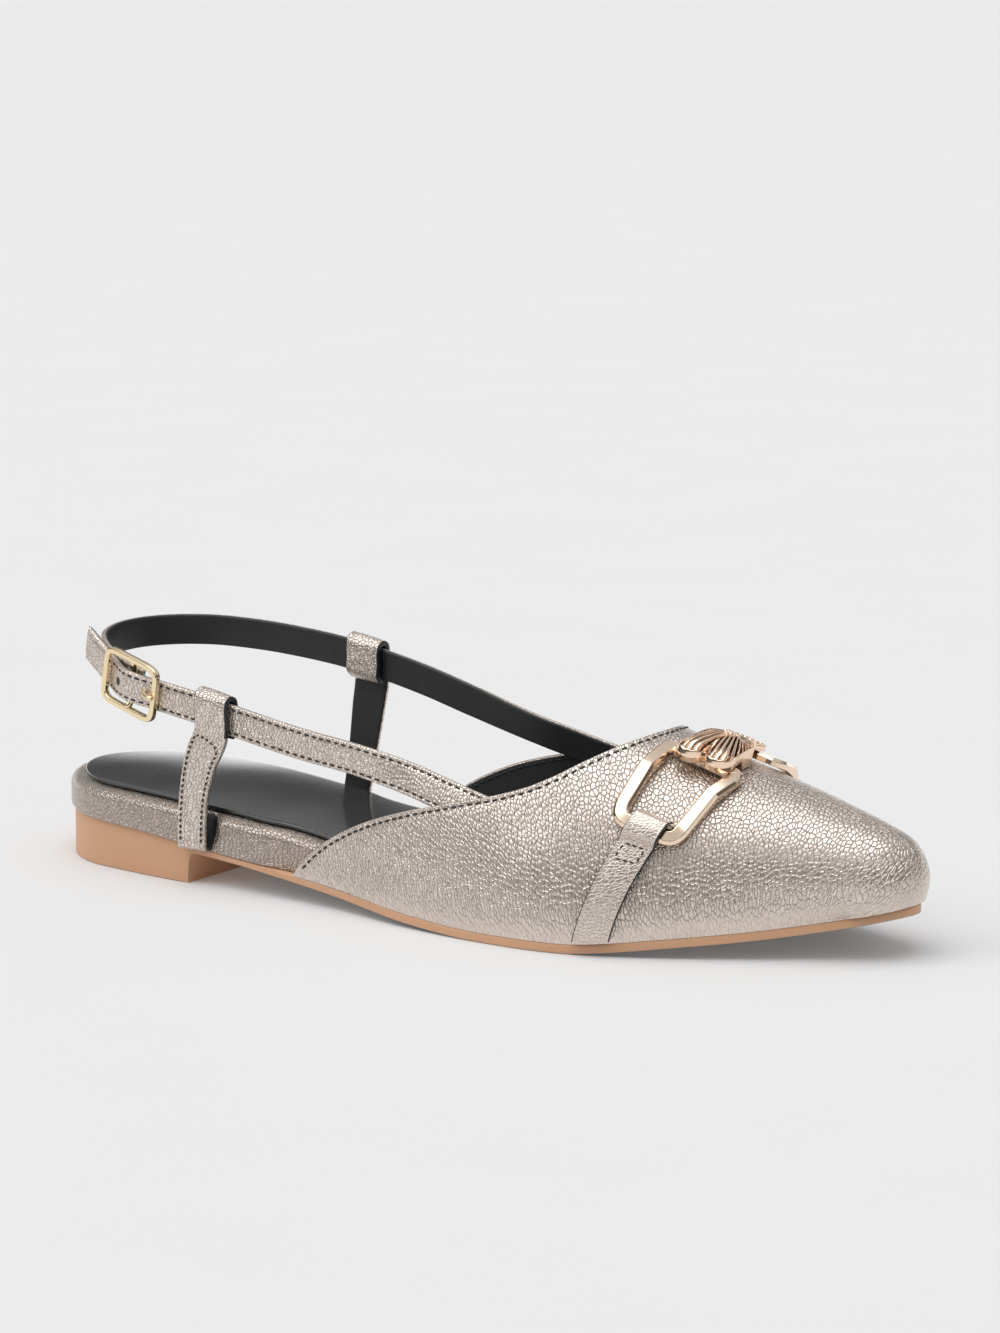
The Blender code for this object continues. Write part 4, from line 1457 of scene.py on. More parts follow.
@dataclass
class Vamp:
    """Pointed vamp with its wings: one lined shell with a rolled collar, and the collar's stitches."""

    last: Last
    finishes: Finishes
    columns: int = 160
    outer_rows: int = 120
    roll_rows: int = 8
    inner_rows: int = 70
    roll: float = 0.85
    seam_inset: float = 1.0
    seam_groove: float = 0.16
    seam_reach: float = 0.55
    stitch_sink: float = 0.06
    stitch_sink_inside: float = 0.02
    seam_end: float = 0.006
    wall_taper: float = 0.012
    rim_arc: float = 0.004
    even_columns: float = 0.3
    rim_columns: float = 0.35
    row_power: float = 1.15
    collar_points: int = 900
    calm_heights: tuple[float, float] = (0.5, 9.0)

    def build(self) -> None:
        """Builds and dresses the shell and its stitches."""
        shell, dress = self.shell()
        materials = [self.finishes.vamp, self.finishes.lining]
        above = shell[..., 2] - self.last.sole_top(np.clip(shell[..., 0], 0, self.last.length))
        calm = 1 - ease(*self.calm_heights, above)
        add_piece("upper_shell", draped(shell, dress, calm), materials, ["upper"])
        add_piece("collar_stitches", self.stitches(), [self.finishes.thread])

    def collar(self) -> tuple[Array, Array]:
        """Stations and arcs of the collar's edge, from the outer wing's end to the inner one's."""
        arc = np.linspace(self.rim_arc, 1 - self.rim_arc, self.collar_points)
        return self.last.collar_start(arc), arc

    def relief(self, station: Array, arc: Array, place: Array) -> Array:
        """How far the leather stands over the last: soft creases, and the groove of the collar's seam.

        Args:
            station: Stations of the surface.
            arc: Arcs of the surface; not used.
            place: Points of the surface.

        Returns:
            Millimetres outward.
        """
        edge = self.last.point(*self.collar())
        flat = place.reshape(-1, 3)
        nearest = np.array([np.min(np.sum((edge - spot) ** 2, axis=1)) for spot in flat])
        from_edge = np.sqrt(nearest).reshape(station.shape)
        lift = -self.seam_groove * bump_at(from_edge - self.seam_inset, self.seam_reach)
        for crease in CREASES:
            middle = self.last.point(self.last.station_of(crease.x), crease.arc)
            out = self.last.normal(self.last.station_of(crease.x), crease.arc)
            level = unit(np.cross(UP, out))
            turn = radians(crease.slant)
            ahead = cos(turn) * level + sin(turn) * np.cross(out, level)
            aside = np.cross(out, ahead)
            offset = place - middle
            shape = bump_at(offset @ ahead, crease.half_length) * bump_at(offset @ aside, crease.half_width)
            lift = lift - crease.depth * shape * bump_at(offset @ out, 3 * crease.half_width)
        return lift

    def shell(self) -> tuple[Array, Array]:
        """Rows of points from the toe back over the outside, round the collar's edge and inside to the toe.

        Returns:
            The points, and for each quad 0 for leather or 1 for lining.
        """
        even = np.linspace(0, 1, self.columns)
        arc = self.even_columns * even + self.rim_columns * (1 - np.cos(np.pi * even))
        out_run = np.linspace(1, 0, self.outer_rows) ** self.row_power
        in_run = np.linspace(0, 1, self.inner_rows) ** self.row_power
        turn = np.linspace(0, np.pi, self.roll_rows + 2)[1:-1]
        run = np.concatenate([out_run, np.zeros(self.roll_rows), in_run])
        depth = np.concatenate([0 * out_run, (1 - np.cos(turn)) / 2, 1 + 0 * in_run])
        bead = np.concatenate([0 * out_run, np.sin(turn), 0 * in_run])
        start = self.last.collar_start(arc)
        station = start + (1 - start) * run[:, None]
        arc = np.broadcast_to(arc, station.shape)
        place = self.last.point(station, arc)
        normal = self.last.normal(station, arc)
        back = unit(place[self.outer_rows - 1] - place[self.outer_rows - 3])
        rim = np.minimum(arc, 1 - arc)
        taper = ease(0, self.wall_taper, rim) * ease(1, 1 - 2 * self.wall_taper, run)[:, None]
        lift = np.zeros(station.shape)
        outer = slice(0, self.outer_rows)
        lift[outer] = self.relief(station[outer], arc[outer], place[outer])
        shift = (lift - self.last.wall * depth[:, None]) * taper
        points = place + shift[..., None] * normal + (self.roll * bead[:, None] * taper)[..., None] * back
        for edge in (np.s_[:, 0], np.s_[:, -1], np.s_[0, :], np.s_[-1, :]):
            edge_x = np.minimum(points[edge][:, 0], self.last.length)
            points[edge][:, 2] = self.last.sole_top(edge_x) + self.last.sole_seat
        dress = np.zeros((len(run) - 1, self.columns - 1))
        dress[self.outer_rows + self.roll_rows:] = 1
        return points, dress

    def stitches(self) -> Shape:
        """Row of stitches a little in from the collar's edge, outside and inside.

        Returns:
            Their shape.
        """
        station, arc = self.collar()
        edge = self.last.point(station, arc)
        inward = np.cross(heading(edge), self.last.normal(station, arc))
        to_toe = self.last.point(station + 0.01, arc) - edge
        toward_toe = np.sign(np.sum(inward * to_toe, axis=1, keepdims=True))
        station, arc = self.last.slide(station, arc, self.seam_inset * toward_toe * inward)
        used = np.minimum(arc, 1 - arc) > self.seam_end
        line = self.last.point(station, arc)[used]
        normal = self.last.normal(station, arc)[used]
        shape = bmesh.new()
        Seam().sew(shape, line - self.stitch_sink * normal, normal)
        Seam().sew(shape, line - (self.last.wall + self.stitch_sink_inside) * normal, -normal)
        return shape


@dataclass
class Ribbon:
    """Strap along a middle line: padded leather outside, lining inside and rounded edges.

    From the row dark_from on, where it is given, the edges have the lining's colour: partly the inked cut
    edge, partly painted shade along it.
    """

    centres: Array
    across: Array
    out: Array
    widths: Array
    thickness: float
    seam_inset: float = 1.15
    groove: float = 0.14
    groove_reach: float = 0.4
    stitch_lift: float = 0.08
    puff: float = 0.10
    slant: float = 0.0
    slant_from: float = 0.92
    dark_from: int | None = None
    edge_round: float = 0.55
    end_share: float = 0.93
    end_length: float = 0.4
    face_points: int = 25
    edge_points: int = 7

    def section(self) -> tuple[Array, Array, Array]:
        """Section of the strap, going once round.

        Returns:
            Places across at a width of 2, places out, and whether each step is lining.
        """
        half = self.thickness / 2
        width = float(np.mean(self.widths))
        shoulder = width / 2 - half * self.edge_round
        face = np.linspace(-shoulder, shoulder, self.face_points)
        crown = self.crown(face / shoulder, np.abs(face) - (width / 2 - self.seam_inset))
        turn = np.linspace(np.pi / 2, -np.pi / 2, self.edge_points + 2)[1:-1]
        edge = shoulder + half * self.edge_round * np.cos(turn)
        rise = half * np.sin(turn)
        back = np.linspace(shoulder, -shoulder, self.face_points // 2)
        aside = np.concatenate([face, edge, back, -edge, face[:1]])
        out = np.concatenate([crown, rise, np.full(len(back), -half), -rise, crown[:1]])
        lined = (out[1:] + out[:-1]) / 2 < -0.5 * half
        return 2 * aside / width, out, lined

    def crown(self, share: Array, from_seam: Array) -> Array:
        """Height of the outside over the strap's middle, at a share across and a distance from the seam."""
        sunk = self.groove * bump_at(from_seam, self.groove_reach)
        return self.thickness / 2 + self.puff * (1 - share**4) - sunk

    def mesh(self) -> Shape:
        """Strap as a closed shape, its ends closed to a soft edge.

        Returns:
            The shape.
        """
        aside, out, lined = self.section()
        forward = heading(self.centres)
        sides = (self.widths / 2)[:, None, None] * aside[None, :, None] * self.across[:, None]
        cut = self.slant * ease(self.slant_from, 1.0, np.linspace(0, 1, len(self.centres)))
        lean = cut[:, None, None] * aside[None, :, None] * forward[:, None]
        body = self.centres[:, None] + sides + lean
        points = body + out[None, :, None] * self.out[:, None]
        caps = [body[k] + self.end_share * (points[k] - body[k]) for k in (0, -1)]
        reach = self.end_length * self.thickness
        flats = [body[0] - reach * forward[0], body[-1] + reach * forward[-1]]
        rows = np.concatenate([flats[:1], caps[:1], points[1:-1], caps[1:], flats[1:]])
        dress = np.repeat(lined[None], len(rows) - 1, axis=0)
        # Painted shade, partly the cut edge's ink: the edges take the lining's black from dark_from on.
        if self.dark_from is not None:
            dress[self.dark_from:, self.face_points - 1:] = True
        return draped(rows, dress)

    def seam_line(self, share: float, first: int, last: int) -> tuple[Array, Array]:
        """Line on the strap's outside.

        Args:
            share: Place across, -1 and 1 at the two seams.
            first: First row used.
            last: Row after the last one used.

        Returns:
            Points of the line and the outward directions.
        """
        used = slice(first, last)
        reach = self.widths[used] / 2 - self.seam_inset
        lift = self.crown(abs(share), (1 - abs(share)) * float(np.mean(reach))) + self.stitch_lift
        line = self.centres[used] + share * reach[:, None] * self.across[used] + lift * self.out[used]
        return line, self.out[used]


@dataclass
class Strapping:
    """The two straps, the stays that carry them, their stitches and the buckle."""

    last: Last
    finishes: Finishes
    strap_width: float = 8.4
    sling_thickness: float = 1.8
    buckle_strap_thickness: float = 1.6
    tip_slant: float = 1.4
    lining_slack: float = 0.2
    lining_steps: int = 6
    halvings: int = 30
    sling_rows: int = 300
    buckle_strap_rows: int = 220
    stay_rows: int = 150
    stay_thickness: float = 1.6
    stay_top_width: float = 10.8
    stay_tail: float = 1.0
    seam_foot: float = 1.5
    arch_drop: float = 4.8
    arch_rise: float = 2.4
    arch_power: float = 0.7
    arch_points: int = 60
    stay_slack: float = 0.15
    buckle_centre: Array = field(default_factory=lambda: np.array([37.9, -28.3, 51.6]))
    buckle_axis: Array = field(default_factory=lambda: np.array([-20.8, 4.7, 4.2]))
    buckle_half_length: float = 10.3
    buckle_half_height: float = 7.0
    buckle_wire: float = 0.87
    buckle_squareness: float = 7.0
    wire_squareness: float = 4.5
    bar_wire: float = 0.9
    bar_drop: float = 0.82
    prong_wire: float = 0.75
    prong_rows: int = 50
    hole_along: float = 3.2
    hole_radius: float = 1.1
    hole_lift: float = 0.04

    def build(self) -> None:
        """Builds and dresses straps, stays, stitches, hole and buckle."""
        leather = [self.finishes.strap, self.finishes.lining]
        sling = self.strap(self.sling_knots(), self.sling_thickness, self.sling_rows, Side.MEDIAL)
        knots = self.buckle_strap_knots()
        buckle_strap = self.strap(knots, self.buckle_strap_thickness, self.buckle_strap_rows, Side.LATERAL)
        buckle_strap.slant = self.tip_slant
        add_piece("strap_sling", sling.mesh(), leather, ["sling_strap"])
        add_piece("strap_buckled", buckle_strap.mesh(), leather, ["buckle_strap"])
        stitches = bmesh.new()
        seam = Seam(height=0.45)
        for ribbon in (sling, buckle_strap):
            from_centre = (ribbon.centres - self.buckle_centre) @ self.axes()[0]
            sewn = int(np.sum(from_centre < self.buckle_half_length - 1))
            for share in (-1, 1):
                seam.sew(stitches, *ribbon.seam_line(share, 3, min(sewn, len(from_centre) - 6)))
        outer = self.stay(Side.LATERAL, buckle_strap)
        inner = self.stay(Side.MEDIAL, sling)
        add_piece("stay_outer", outer.mesh(), leather, ["stay_lateral"])
        add_piece("stay_inner", inner.mesh(), leather, ["stay_medial"])
        fine_seam = Seam(pitch=1.6, length=1.05, width=0.55, height=0.42)
        for ribbon in (outer, inner):
            fine_seam.sew(stitches, *self.stay_seam(ribbon))
        add_piece("strap_stitches", stitches, [self.finishes.thread])
        add_piece("punched_hole", self.hole(buckle_strap), [self.finishes.thread])
        gold = [self.finishes.gold]
        add_piece("buckle_rim", self.rim(), gold, ["buckle_frame"])
        add_piece("buckle_centre_bar", self.bar(), gold)
        add_piece("buckle_tongue", self.prong(), gold, ["buckle_prong"])

    def axes(self) -> tuple[Array, Array, Array]:
        """Axes of the buckle.

        Returns:
            Directions along the buckle, up across it and out of it.
        """
        along_axis = unit(self.buckle_axis)
        out_axis = unit(np.cross(along_axis, UP))
        out_axis = out_axis if out_axis[1] < 0 else -out_axis
        up_axis = np.cross(out_axis, along_axis)
        return along_axis, up_axis * np.sign(up_axis[2]), out_axis

    def in_lining(self, rows: Sequence[LiningRow], side: Side, depth: float) -> Array:
        """Knots on the inside of the upper.

        Args:
            rows: The two ends of the run.
            side: Side of the foot.
            depth: How far inside the upper's outside the strap's middle lies.

        Returns:
            Rows of a point and the direction up the wall.
        """
        first, final = rows
        knots = []
        for share in np.linspace(0, 1, self.lining_steps):
            station = self.last.station_of(first.x + share * (final.x - first.x))
            height = first.z + share * (final.z - first.z)
            low, high = 0.0, 0.5
            for _ in range(self.halvings):
                half = (low + high) / 2
                if self.last.point(station, half)[2] < height:
                    low = half
                else:
                    high = half
            arc = side.arc(low)
            up = unit(self.last.point(station, arc - 0.02 * side.value) - self.last.point(station, arc))
            point = self.last.point(station, arc) - depth * self.last.normal(station, arc)
            knots.append(np.concatenate([point, up]))
        return np.array(knots)

    def in_buckle(self, rows: Sequence[LayerRow]) -> Array:
        """Knots in the buckle's own frame, with the strap's width across it.

        Args:
            rows: Places in the buckle.

        Returns:
            Rows of a point and the direction across.
        """
        along_axis, up_axis, out_axis = self.axes()
        points = [self.buckle_centre + row.along * along_axis + row.out * out_axis for row in rows]
        return np.array([np.concatenate([point, up_axis]) for point in points])

    @staticmethod
    def in_air(rows: Sequence[PathRow]) -> Array:
        """Knots in the open, with the strap's width upright."""
        return np.array([(*row, *UP) for row in rows])

    def sling_knots(self) -> Array:
        """Knots of the strap round the heel.

        Returns:
            Rows of a point and the direction across.
        """
        depth = self.last.wall + self.last.gap + self.lining_slack + self.sling_thickness / 2
        lining = self.in_lining(SLING_LINING, Side.MEDIAL, depth)
        return np.concatenate([lining, self.in_air(SLING_PATH), self.in_buckle(SLING_LAYERS)])

    def buckle_strap_knots(self) -> Array:
        """Knots of the strap that goes through the buckle."""
        depth = self.last.wall + self.last.gap + self.lining_slack + self.buckle_strap_thickness / 2
        return np.concatenate([
            self.in_lining(BUCKLE_LINING, Side.LATERAL, depth),
            self.in_air(BUCKLE_STRAP_PATH),
            self.in_buckle(BUCKLE_STRAP_LAYERS),
            self.in_air(BUCKLE_STRAP_TIP),
        ])

    def strap(self, knots: Array, thickness: float, rows: int, side: Side) -> Ribbon:
        """Strap through its knots.

        Args:
            knots: Rows of a point and the direction of the strap's width.
            thickness: Thickness of the strap.
            rows: Number of rows along it.
            side: Side of the foot on which it starts.

        Returns:
            The strap.
        """
        line = path_through(knots, rows)
        return self.laid(line[:, :3], line[:, 3:], np.full(rows, self.strap_width), thickness, side)

    @staticmethod
    def laid(centres: Array, across: Array, widths: Array, thickness: float, side: Side) -> Ribbon:
        """Ribbon whose width stands square to its middle line.

        Args:
            centres: Points of the middle line.
            across: Rough directions of the width.
            widths: Width at each point.
            thickness: Thickness of the ribbon.
            side: Side of the foot, which says which way its outside faces.

        Returns:
            The ribbon.
        """
        forward = heading(centres)
        across = square_to(forward, across)
        return Ribbon(centres, across, side.value * np.cross(forward, across), widths, thickness)

    def stay(self, side: Side, strap: Ribbon) -> Ribbon:
        """Stay that stands on the footbed's side, goes up outside the strap, folds over it and ends inside.

        Args:
            side: Side of the foot.
            strap: The strap that it carries.

        Returns:
            The stay.
        """
        base_x, top_x, lateness = STAYS[side]
        line = strap.centres
        nearest = np.argmin(np.abs(line[:, 0] - top_x) + 1000 * (line[:, 1] * side.value < 0))
        middle = line[nearest]
        strap_run = unit(line[nearest + 1] - line[nearest - 1])
        strap_run = strap_run * np.sign(strap_run[0])
        reach = self.last.stay_width / 2
        rear, front = self.last.half_width(side, base_x + np.array([-reach, reach]))
        band_run = unit(np.array([2 * reach, side.value * (front - rear), 0.0]))
        leg = (rear + front) / 2 - self.last.band_inset + self.last.gap + self.stay_thickness / 2
        layer = strap.thickness / 2 + self.last.gap + self.stay_slack + self.stay_thickness / 2
        crown = middle[2] + self.strap_width / 2 - strap.thickness / 2
        foot = float(self.last.sole_top(base_x)) + self.last.gap
        below = middle[2] - self.strap_width / 2
        near = middle[1] + side.value * layer
        far = middle[1] - side.value * layer
        centres = []
        for share in (0.0, 0.25, 0.5, 0.75):
            lean = share**lateness
            y = side.value * leg + lean * (near - side.value * leg)
            centres.append((base_x + lean * (top_x - base_x), y, foot + share * (below - foot)))
        centres += [(top_x, near, below), (top_x, near, middle[2])]
        for angle in np.linspace(0, np.pi, 7):
            y = middle[1] + side.value * layer * np.cos(angle)
            centres.append((top_x, y, crown + layer * np.sin(angle)))
        centres += [
            (top_x, far, middle[2]),
            (top_x, far, below + self.stay_thickness / 2),
            (top_x, far + side.value * self.stay_thickness, below - self.stay_tail),
        ]
        knots = np.array(centres)
        turned = ease(foot + self.last.band_height, below, knots[:, 2])[:, None]
        across = (1 - turned) * band_run + turned * strap_run
        widths = self.last.stay_width + (self.stay_top_width - self.last.stay_width) * turned
        path = path_through(np.concatenate([knots, across, widths], axis=1), self.stay_rows)
        stay = self.laid(path[:, :3], path[:, 3:6], path[:, 6], self.stay_thickness, side)
        # The stay's edges are black above the strap's lower edge: inked cut edge and painted shade.
        stay.dark_from = int(np.argmax(path[:, 2] > below))
        return stay

    def stay_seam(self, stay: Ribbon) -> tuple[Array, Array]:
        """Seam up one edge of a stay, over in an arch below the strap and down the other edge.

        Args:
            stay: The stay.

        Returns:
            Points of the seam and the outward directions.
        """
        rise = run_of(stay.centres)
        crown = int(np.argmax(stay.centres[:, 2]))
        spring = rise[crown] - self.strap_width - self.arch_drop - self.arch_rise
        up = np.linspace(self.seam_foot, spring, self.arch_points)
        turn = np.linspace(0, np.pi, self.arch_points)
        height = np.concatenate([up, spring + self.arch_rise * np.sin(turn) ** self.arch_power, up[::-1]])
        share = np.concatenate([0 * up - 1, -signed_power(np.cos(turn), self.arch_power), 0 * up + 1])
        line, out = stay.seam_line(0.0, 0, len(stay.centres))
        reach = np.interp(height, rise, stay.widths) / 2 - stay.seam_inset
        sides = between_rows(stay.across, rise, height)
        seam = between_rows(line, rise, height) + (share * reach)[:, None] * sides
        return seam, between_rows(out, rise, height)

    def hole(self, strap: Ribbon) -> Shape:
        """Empty punched hole beside the prong, as a dark disc of painted shade that follows the strap's
        face.

        Args:
            strap: The strap that is punched.

        Returns:
            The disc.
        """
        tail = slice(len(strap.centres) * 2 // 3, None)
        place = (strap.centres[tail] - self.buckle_centre) @ self.axes()[0]
        turn, reach = np.meshgrid(np.linspace(0, 2 * np.pi, 33), np.linspace(0, self.hole_radius, 5))
        at = self.hole_along + reach * np.cos(turn)
        aside = (reach * np.sin(turn))[..., None]
        lift = strap.thickness / 2 + strap.puff + self.hole_lift
        middle, out, across = (
            between_rows(rows[tail], place, at) for rows in (strap.centres, strap.out, strap.across)
        )
        # Painted shade: the black disc stands for the shaded inside of the hole.
        return draped(middle + lift * out + aside * across)

    @staticmethod
    def wire(
        centres: Array, across: Array, radius: Array, sides: int, closed: bool, squareness: float = 2.0
    ) -> Shape:
        """Wire along its middle line.

        Args:
            centres: Points of the middle line.
            across: A direction square to it at each point.
            radius: Radius at each point.
            sides: Points round the wire.
            closed: Whether the line comes back to its start.
            squareness: 2 for a round wire, more for a flatter one.

        Returns:
            The wire's shape.
        """
        forward = ring_heading(centres) if closed else heading(centres)
        across = square_to(forward, across)
        out = np.cross(forward, across)
        turns = np.linspace(0, 2 * np.pi, sides + 1)
        beside = signed_power(np.cos(turns), 2 / squareness)[None, :, None]
        above = signed_power(np.sin(turns), 2 / squareness)[None, :, None]
        spokes = beside * across[:, None] + above * out[:, None]
        rows = centres[:, None] + np.reshape(radius, (-1, 1, 1)) * spokes
        if closed:
            rows = np.concatenate([rows, rows[:1]])
        return draped(rows)

    def rim(self) -> Shape:
        """Rounded frame of the buckle.

        Returns:
            Its shape.
        """
        along_axis, up_axis, out_axis = self.axes()
        turn = np.linspace(0, 2 * np.pi, 160, endpoint=False)
        run = self.buckle_half_length * signed_power(np.cos(turn), 2 / self.buckle_squareness)
        rise = self.buckle_half_height * signed_power(np.sin(turn), 2 / self.buckle_squareness)
        centres = self.buckle_centre + run[:, None] * along_axis + rise[:, None] * up_axis
        radius = np.full(len(turn), self.buckle_wire)
        across = np.broadcast_to(out_axis, centres.shape)
        return self.wire(centres, across, radius, 32, True, self.wire_squareness)

    def bar(self) -> Shape:
        """Centre bar, dropped a little behind the frame's plane.

        Returns:
            Its shape.
        """
        along_axis, up_axis, out_axis = self.axes()
        share = np.linspace(-1, 1, 40)
        rise = self.buckle_half_height * share
        drop = self.bar_drop * (1 - ease(0.65, 0.95, np.abs(share)))
        centres = self.buckle_centre + rise[:, None] * up_axis - drop[:, None] * out_axis
        radius = self.bar_wire * np.sqrt(np.clip(1 - share**20, 0, 1))
        return self.wire(centres, np.broadcast_to(along_axis, centres.shape), radius, 16, False)

    def prong(self) -> Shape:
        """Prong that goes through the strap and rests on the frame.

        Returns:
            Its shape.
        """
        line = path_through(self.in_buckle(PRONG_LAYERS), self.prong_rows)
        share = np.linspace(0, 1, self.prong_rows)
        ends = np.sqrt(np.clip(1 - np.abs(2 * share - 1) ** 24, 0, 1))
        radius = self.prong_wire * (1.1 - 0.2 * share) * ends
        return self.wire(line[:, :3], line[:, 3:], radius, 16, False)


@dataclass
class Bit:
    """Bit ornament: leather tabs, bevelled links on the vamp's sides and the ribbed rosette between them."""

    last: Last
    finishes: Finishes
    tab_thickness: float = 1.2
    tab_shoulder: float = 0.93
    tab_groove: float = 0.12
    tab_groove_share: float = 0.74
    tab_groove_reach: float = 0.06
    tab_soft_rows: int = 400
    tab_soft_width: int = 13
    tab_rows: int = 110
    tab_calm: float = 0.7
    bar_width: float = 4.2
    bar_height: float = 2.3
    seat: float = 0.5
    squareness: float = 7.5
    link_kink: float = 0.58
    link_peak: float = 1.0
    link_flat: float = 0.64
    link_shoulder: float = 0.7
    link_foot: float = 0.1
    link_edge: float = 0.15
    link_edge_from: float = radians(20)
    link_crisp: float = radians(9)
    rosette_x: float = 203.5
    rosette_half_length: float = 7.4
    rosette_half_arc: float = 0.115
    rosette_half_width: float = 12.0
    rosette_inner_share: float = 0.84
    rosette_narrowing: float = 0.42
    rosette_narrow_over: tuple[float, float] = (0.0, 0.42)
    rosette_waist: float = 0.1
    rosette_notch: float = 0.68
    rosette_clear_arcs: tuple[float, float] = (0.028, 0.044)
    rosette_edge: float = 1.2
    rosette_dome: float = 1.5
    rosette_rim: float = 0.45
    rosette_rim_share: float = 0.93
    rosette_rim_reach: float = 0.035
    rosette_groove: float = 0.85
    rosette_valley: float = 0.9
    rib_pitch: float = 0.8
    rib_spread: float = 0.75
    rib_gap: float = 0.15
    rib_ends: tuple[float, float] = (0.95, 0.84)
    wing_share: float = 0.2
    wing_step: tuple[float, float] = (5.4, 3.0)
    rosette_rows: int = 150
    rosette_columns: int = 170
    leaf_half: float = 3.7
    leaf_rise: float = 1.5
    lobe_radius: float = 3.7
    lobe_rise: float = 0.2
    lobe_apart: float = 3.6
    lobe_out: float = 8.8
    knob_radius: float = 1.5
    knob_rise: float = 0.8
    knob_rays: int = 9
    knob_ray_rise: float = 0.14
    box_arcs: tuple[float, float] = (0.143, 0.173)
    box_share: float = 0.58

    def build(self) -> None:
        """Builds and dresses tabs, links, rosette and the tabs' stitches."""
        stitches = bmesh.new()
        for side in Side:
            leather = [self.finishes.strap, self.finishes.lining]
            points, dress = self.tab(side)
            shape = draped(points, dress, np.full(points.shape[:2], self.tab_calm))
            add_piece(f"tab_{side.word}", shape, leather, [f"bit_tab_{side.word}"])
            ring = self.link(side)
            node = f"bit_link_{side.word}"
            add_piece(f"link_{side.word}", ring, [self.finishes.warm], [node], self.link_crisp)
            self.box_seam(stitches, side)
        add_piece("tab_stitches", stitches, [self.finishes.thread])
        # The marks darken the rose gold in the grooves as painted shade.
        points, marks = self.rosette()
        shape = draped(points, None, marks)
        add_piece("rosette_ribbed", shape, [self.finishes.rose], ["bit_rosette"])

    def tab_place(self, side: Side, arc: Array, aside: Array, rise: Array) -> Array:
        """Places over a tab's bed on the upper.

        Args:
            side: Side of the foot.
            arc: How far up the tab.
            aside: Share of the half width, -1 to 1.
            rise: Height over the tab's own underside.

        Returns:
            The points.
        """
        middle = along(TAB, "arc", "x", arc)
        half = along(TAB, "arc", "half_width", arc)
        fine = np.linspace(TAB[0].arc, TAB[-1].arc, self.tab_soft_rows)
        sharp_lift = np.interp(fine, column(TAB, "arc"), column(TAB, "lift"))
        window = np.full(self.tab_soft_width, 1 / self.tab_soft_width)
        soft_lift = np.convolve(np.pad(sharp_lift, len(window) // 2, mode="edge"), window, mode="valid")
        lift = np.interp(arc, fine, soft_lift) + self.last.gap
        slant = (LINK_LOWER_FRONT.arc - LINK_LOWER_REAR.arc) / (LINK_LOWER_FRONT.x - LINK_LOWER_REAR.x)
        tilted = arc + slant * aside * half * (arc / TAB[-1].arc)
        return self.last.on_side(middle + half * aside, side.arc(tilted), lift + rise)

    def tab(self, side: Side) -> tuple[Array, Array]:
        """Leather tab that runs up from the sole's edge and folds over the link's lower bar.

        Args:
            side: Side of the foot.

        Returns:
            Its points, and for each quad 0 for leather or 1 for the lining and the black edges, partly the
            inked cut edge and partly painted shade beside it.
        """
        thick = self.tab_thickness
        face = np.linspace(-self.tab_shoulder, self.tab_shoulder, 19)
        turn = np.linspace(np.pi / 2, -np.pi / 2, 7)[1:-1]
        edge = self.tab_shoulder + (1 - self.tab_shoulder) * np.cos(turn)
        groove = self.tab_groove * bump_at(np.abs(face) - self.tab_groove_share, self.tab_groove_reach)
        aside = np.concatenate([face, edge, face[::-2], -edge, face[:1]])
        rise = np.concatenate([
            thick - groove,
            thick * (1 + np.sin(turn)) / 2,
            0 * face[::-2],
            thick * (1 - np.sin(turn)) / 2,
            thick - groove[:1],
        ])
        arc = np.linspace(TAB[0].arc, TAB[-1].arc, self.tab_rows)
        points = self.tab_place(side, arc[:, None], aside[None, :], rise[None, :])
        ends = arc[[0, -1]][:, None]
        flats = self.tab_place(side, ends, aside[None, :], 0.5 * thick + 0 * rise[None, :])
        rows = np.concatenate([flats[:1], points, flats[1:]])
        # The edges take the lining's black: partly the cut edge's own ink, partly a painted shade line along
        # the tab's sides.
        lined = np.arange(len(aside) - 1) >= len(face) - 1
        return rows, np.broadcast_to(lined, (len(rows) - 1, len(aside) - 1))

    def box_seam(self, shape: Shape, side: Side) -> None:
        """Small square of stitches under the tab's fold.

        Args:
            shape: Mesh that takes the stitches.
            side: Side of the foot.
        """
        low, high = self.box_arcs
        reach = self.box_share
        corners = ((low, -reach), (low, reach), (high, reach), (high, -reach), (low, -reach))
        seam = Seam(pitch=1.7, length=1.25, width=0.5, height=0.4)
        share = np.linspace(0.04, 0.96, 30)
        for (arc, aside), (next_arc, next_aside) in zip(corners[:-1], corners[1:]):
            arcs = arc + share * (next_arc - arc)
            asides = aside + share * (next_aside - aside)
            line = self.tab_place(side, arcs, asides, self.tab_thickness + 0 * share)
            top = self.tab_place(side, arcs, asides, self.tab_thickness + 1 + 0 * share)
            seam.sew(shape, line, top - line)

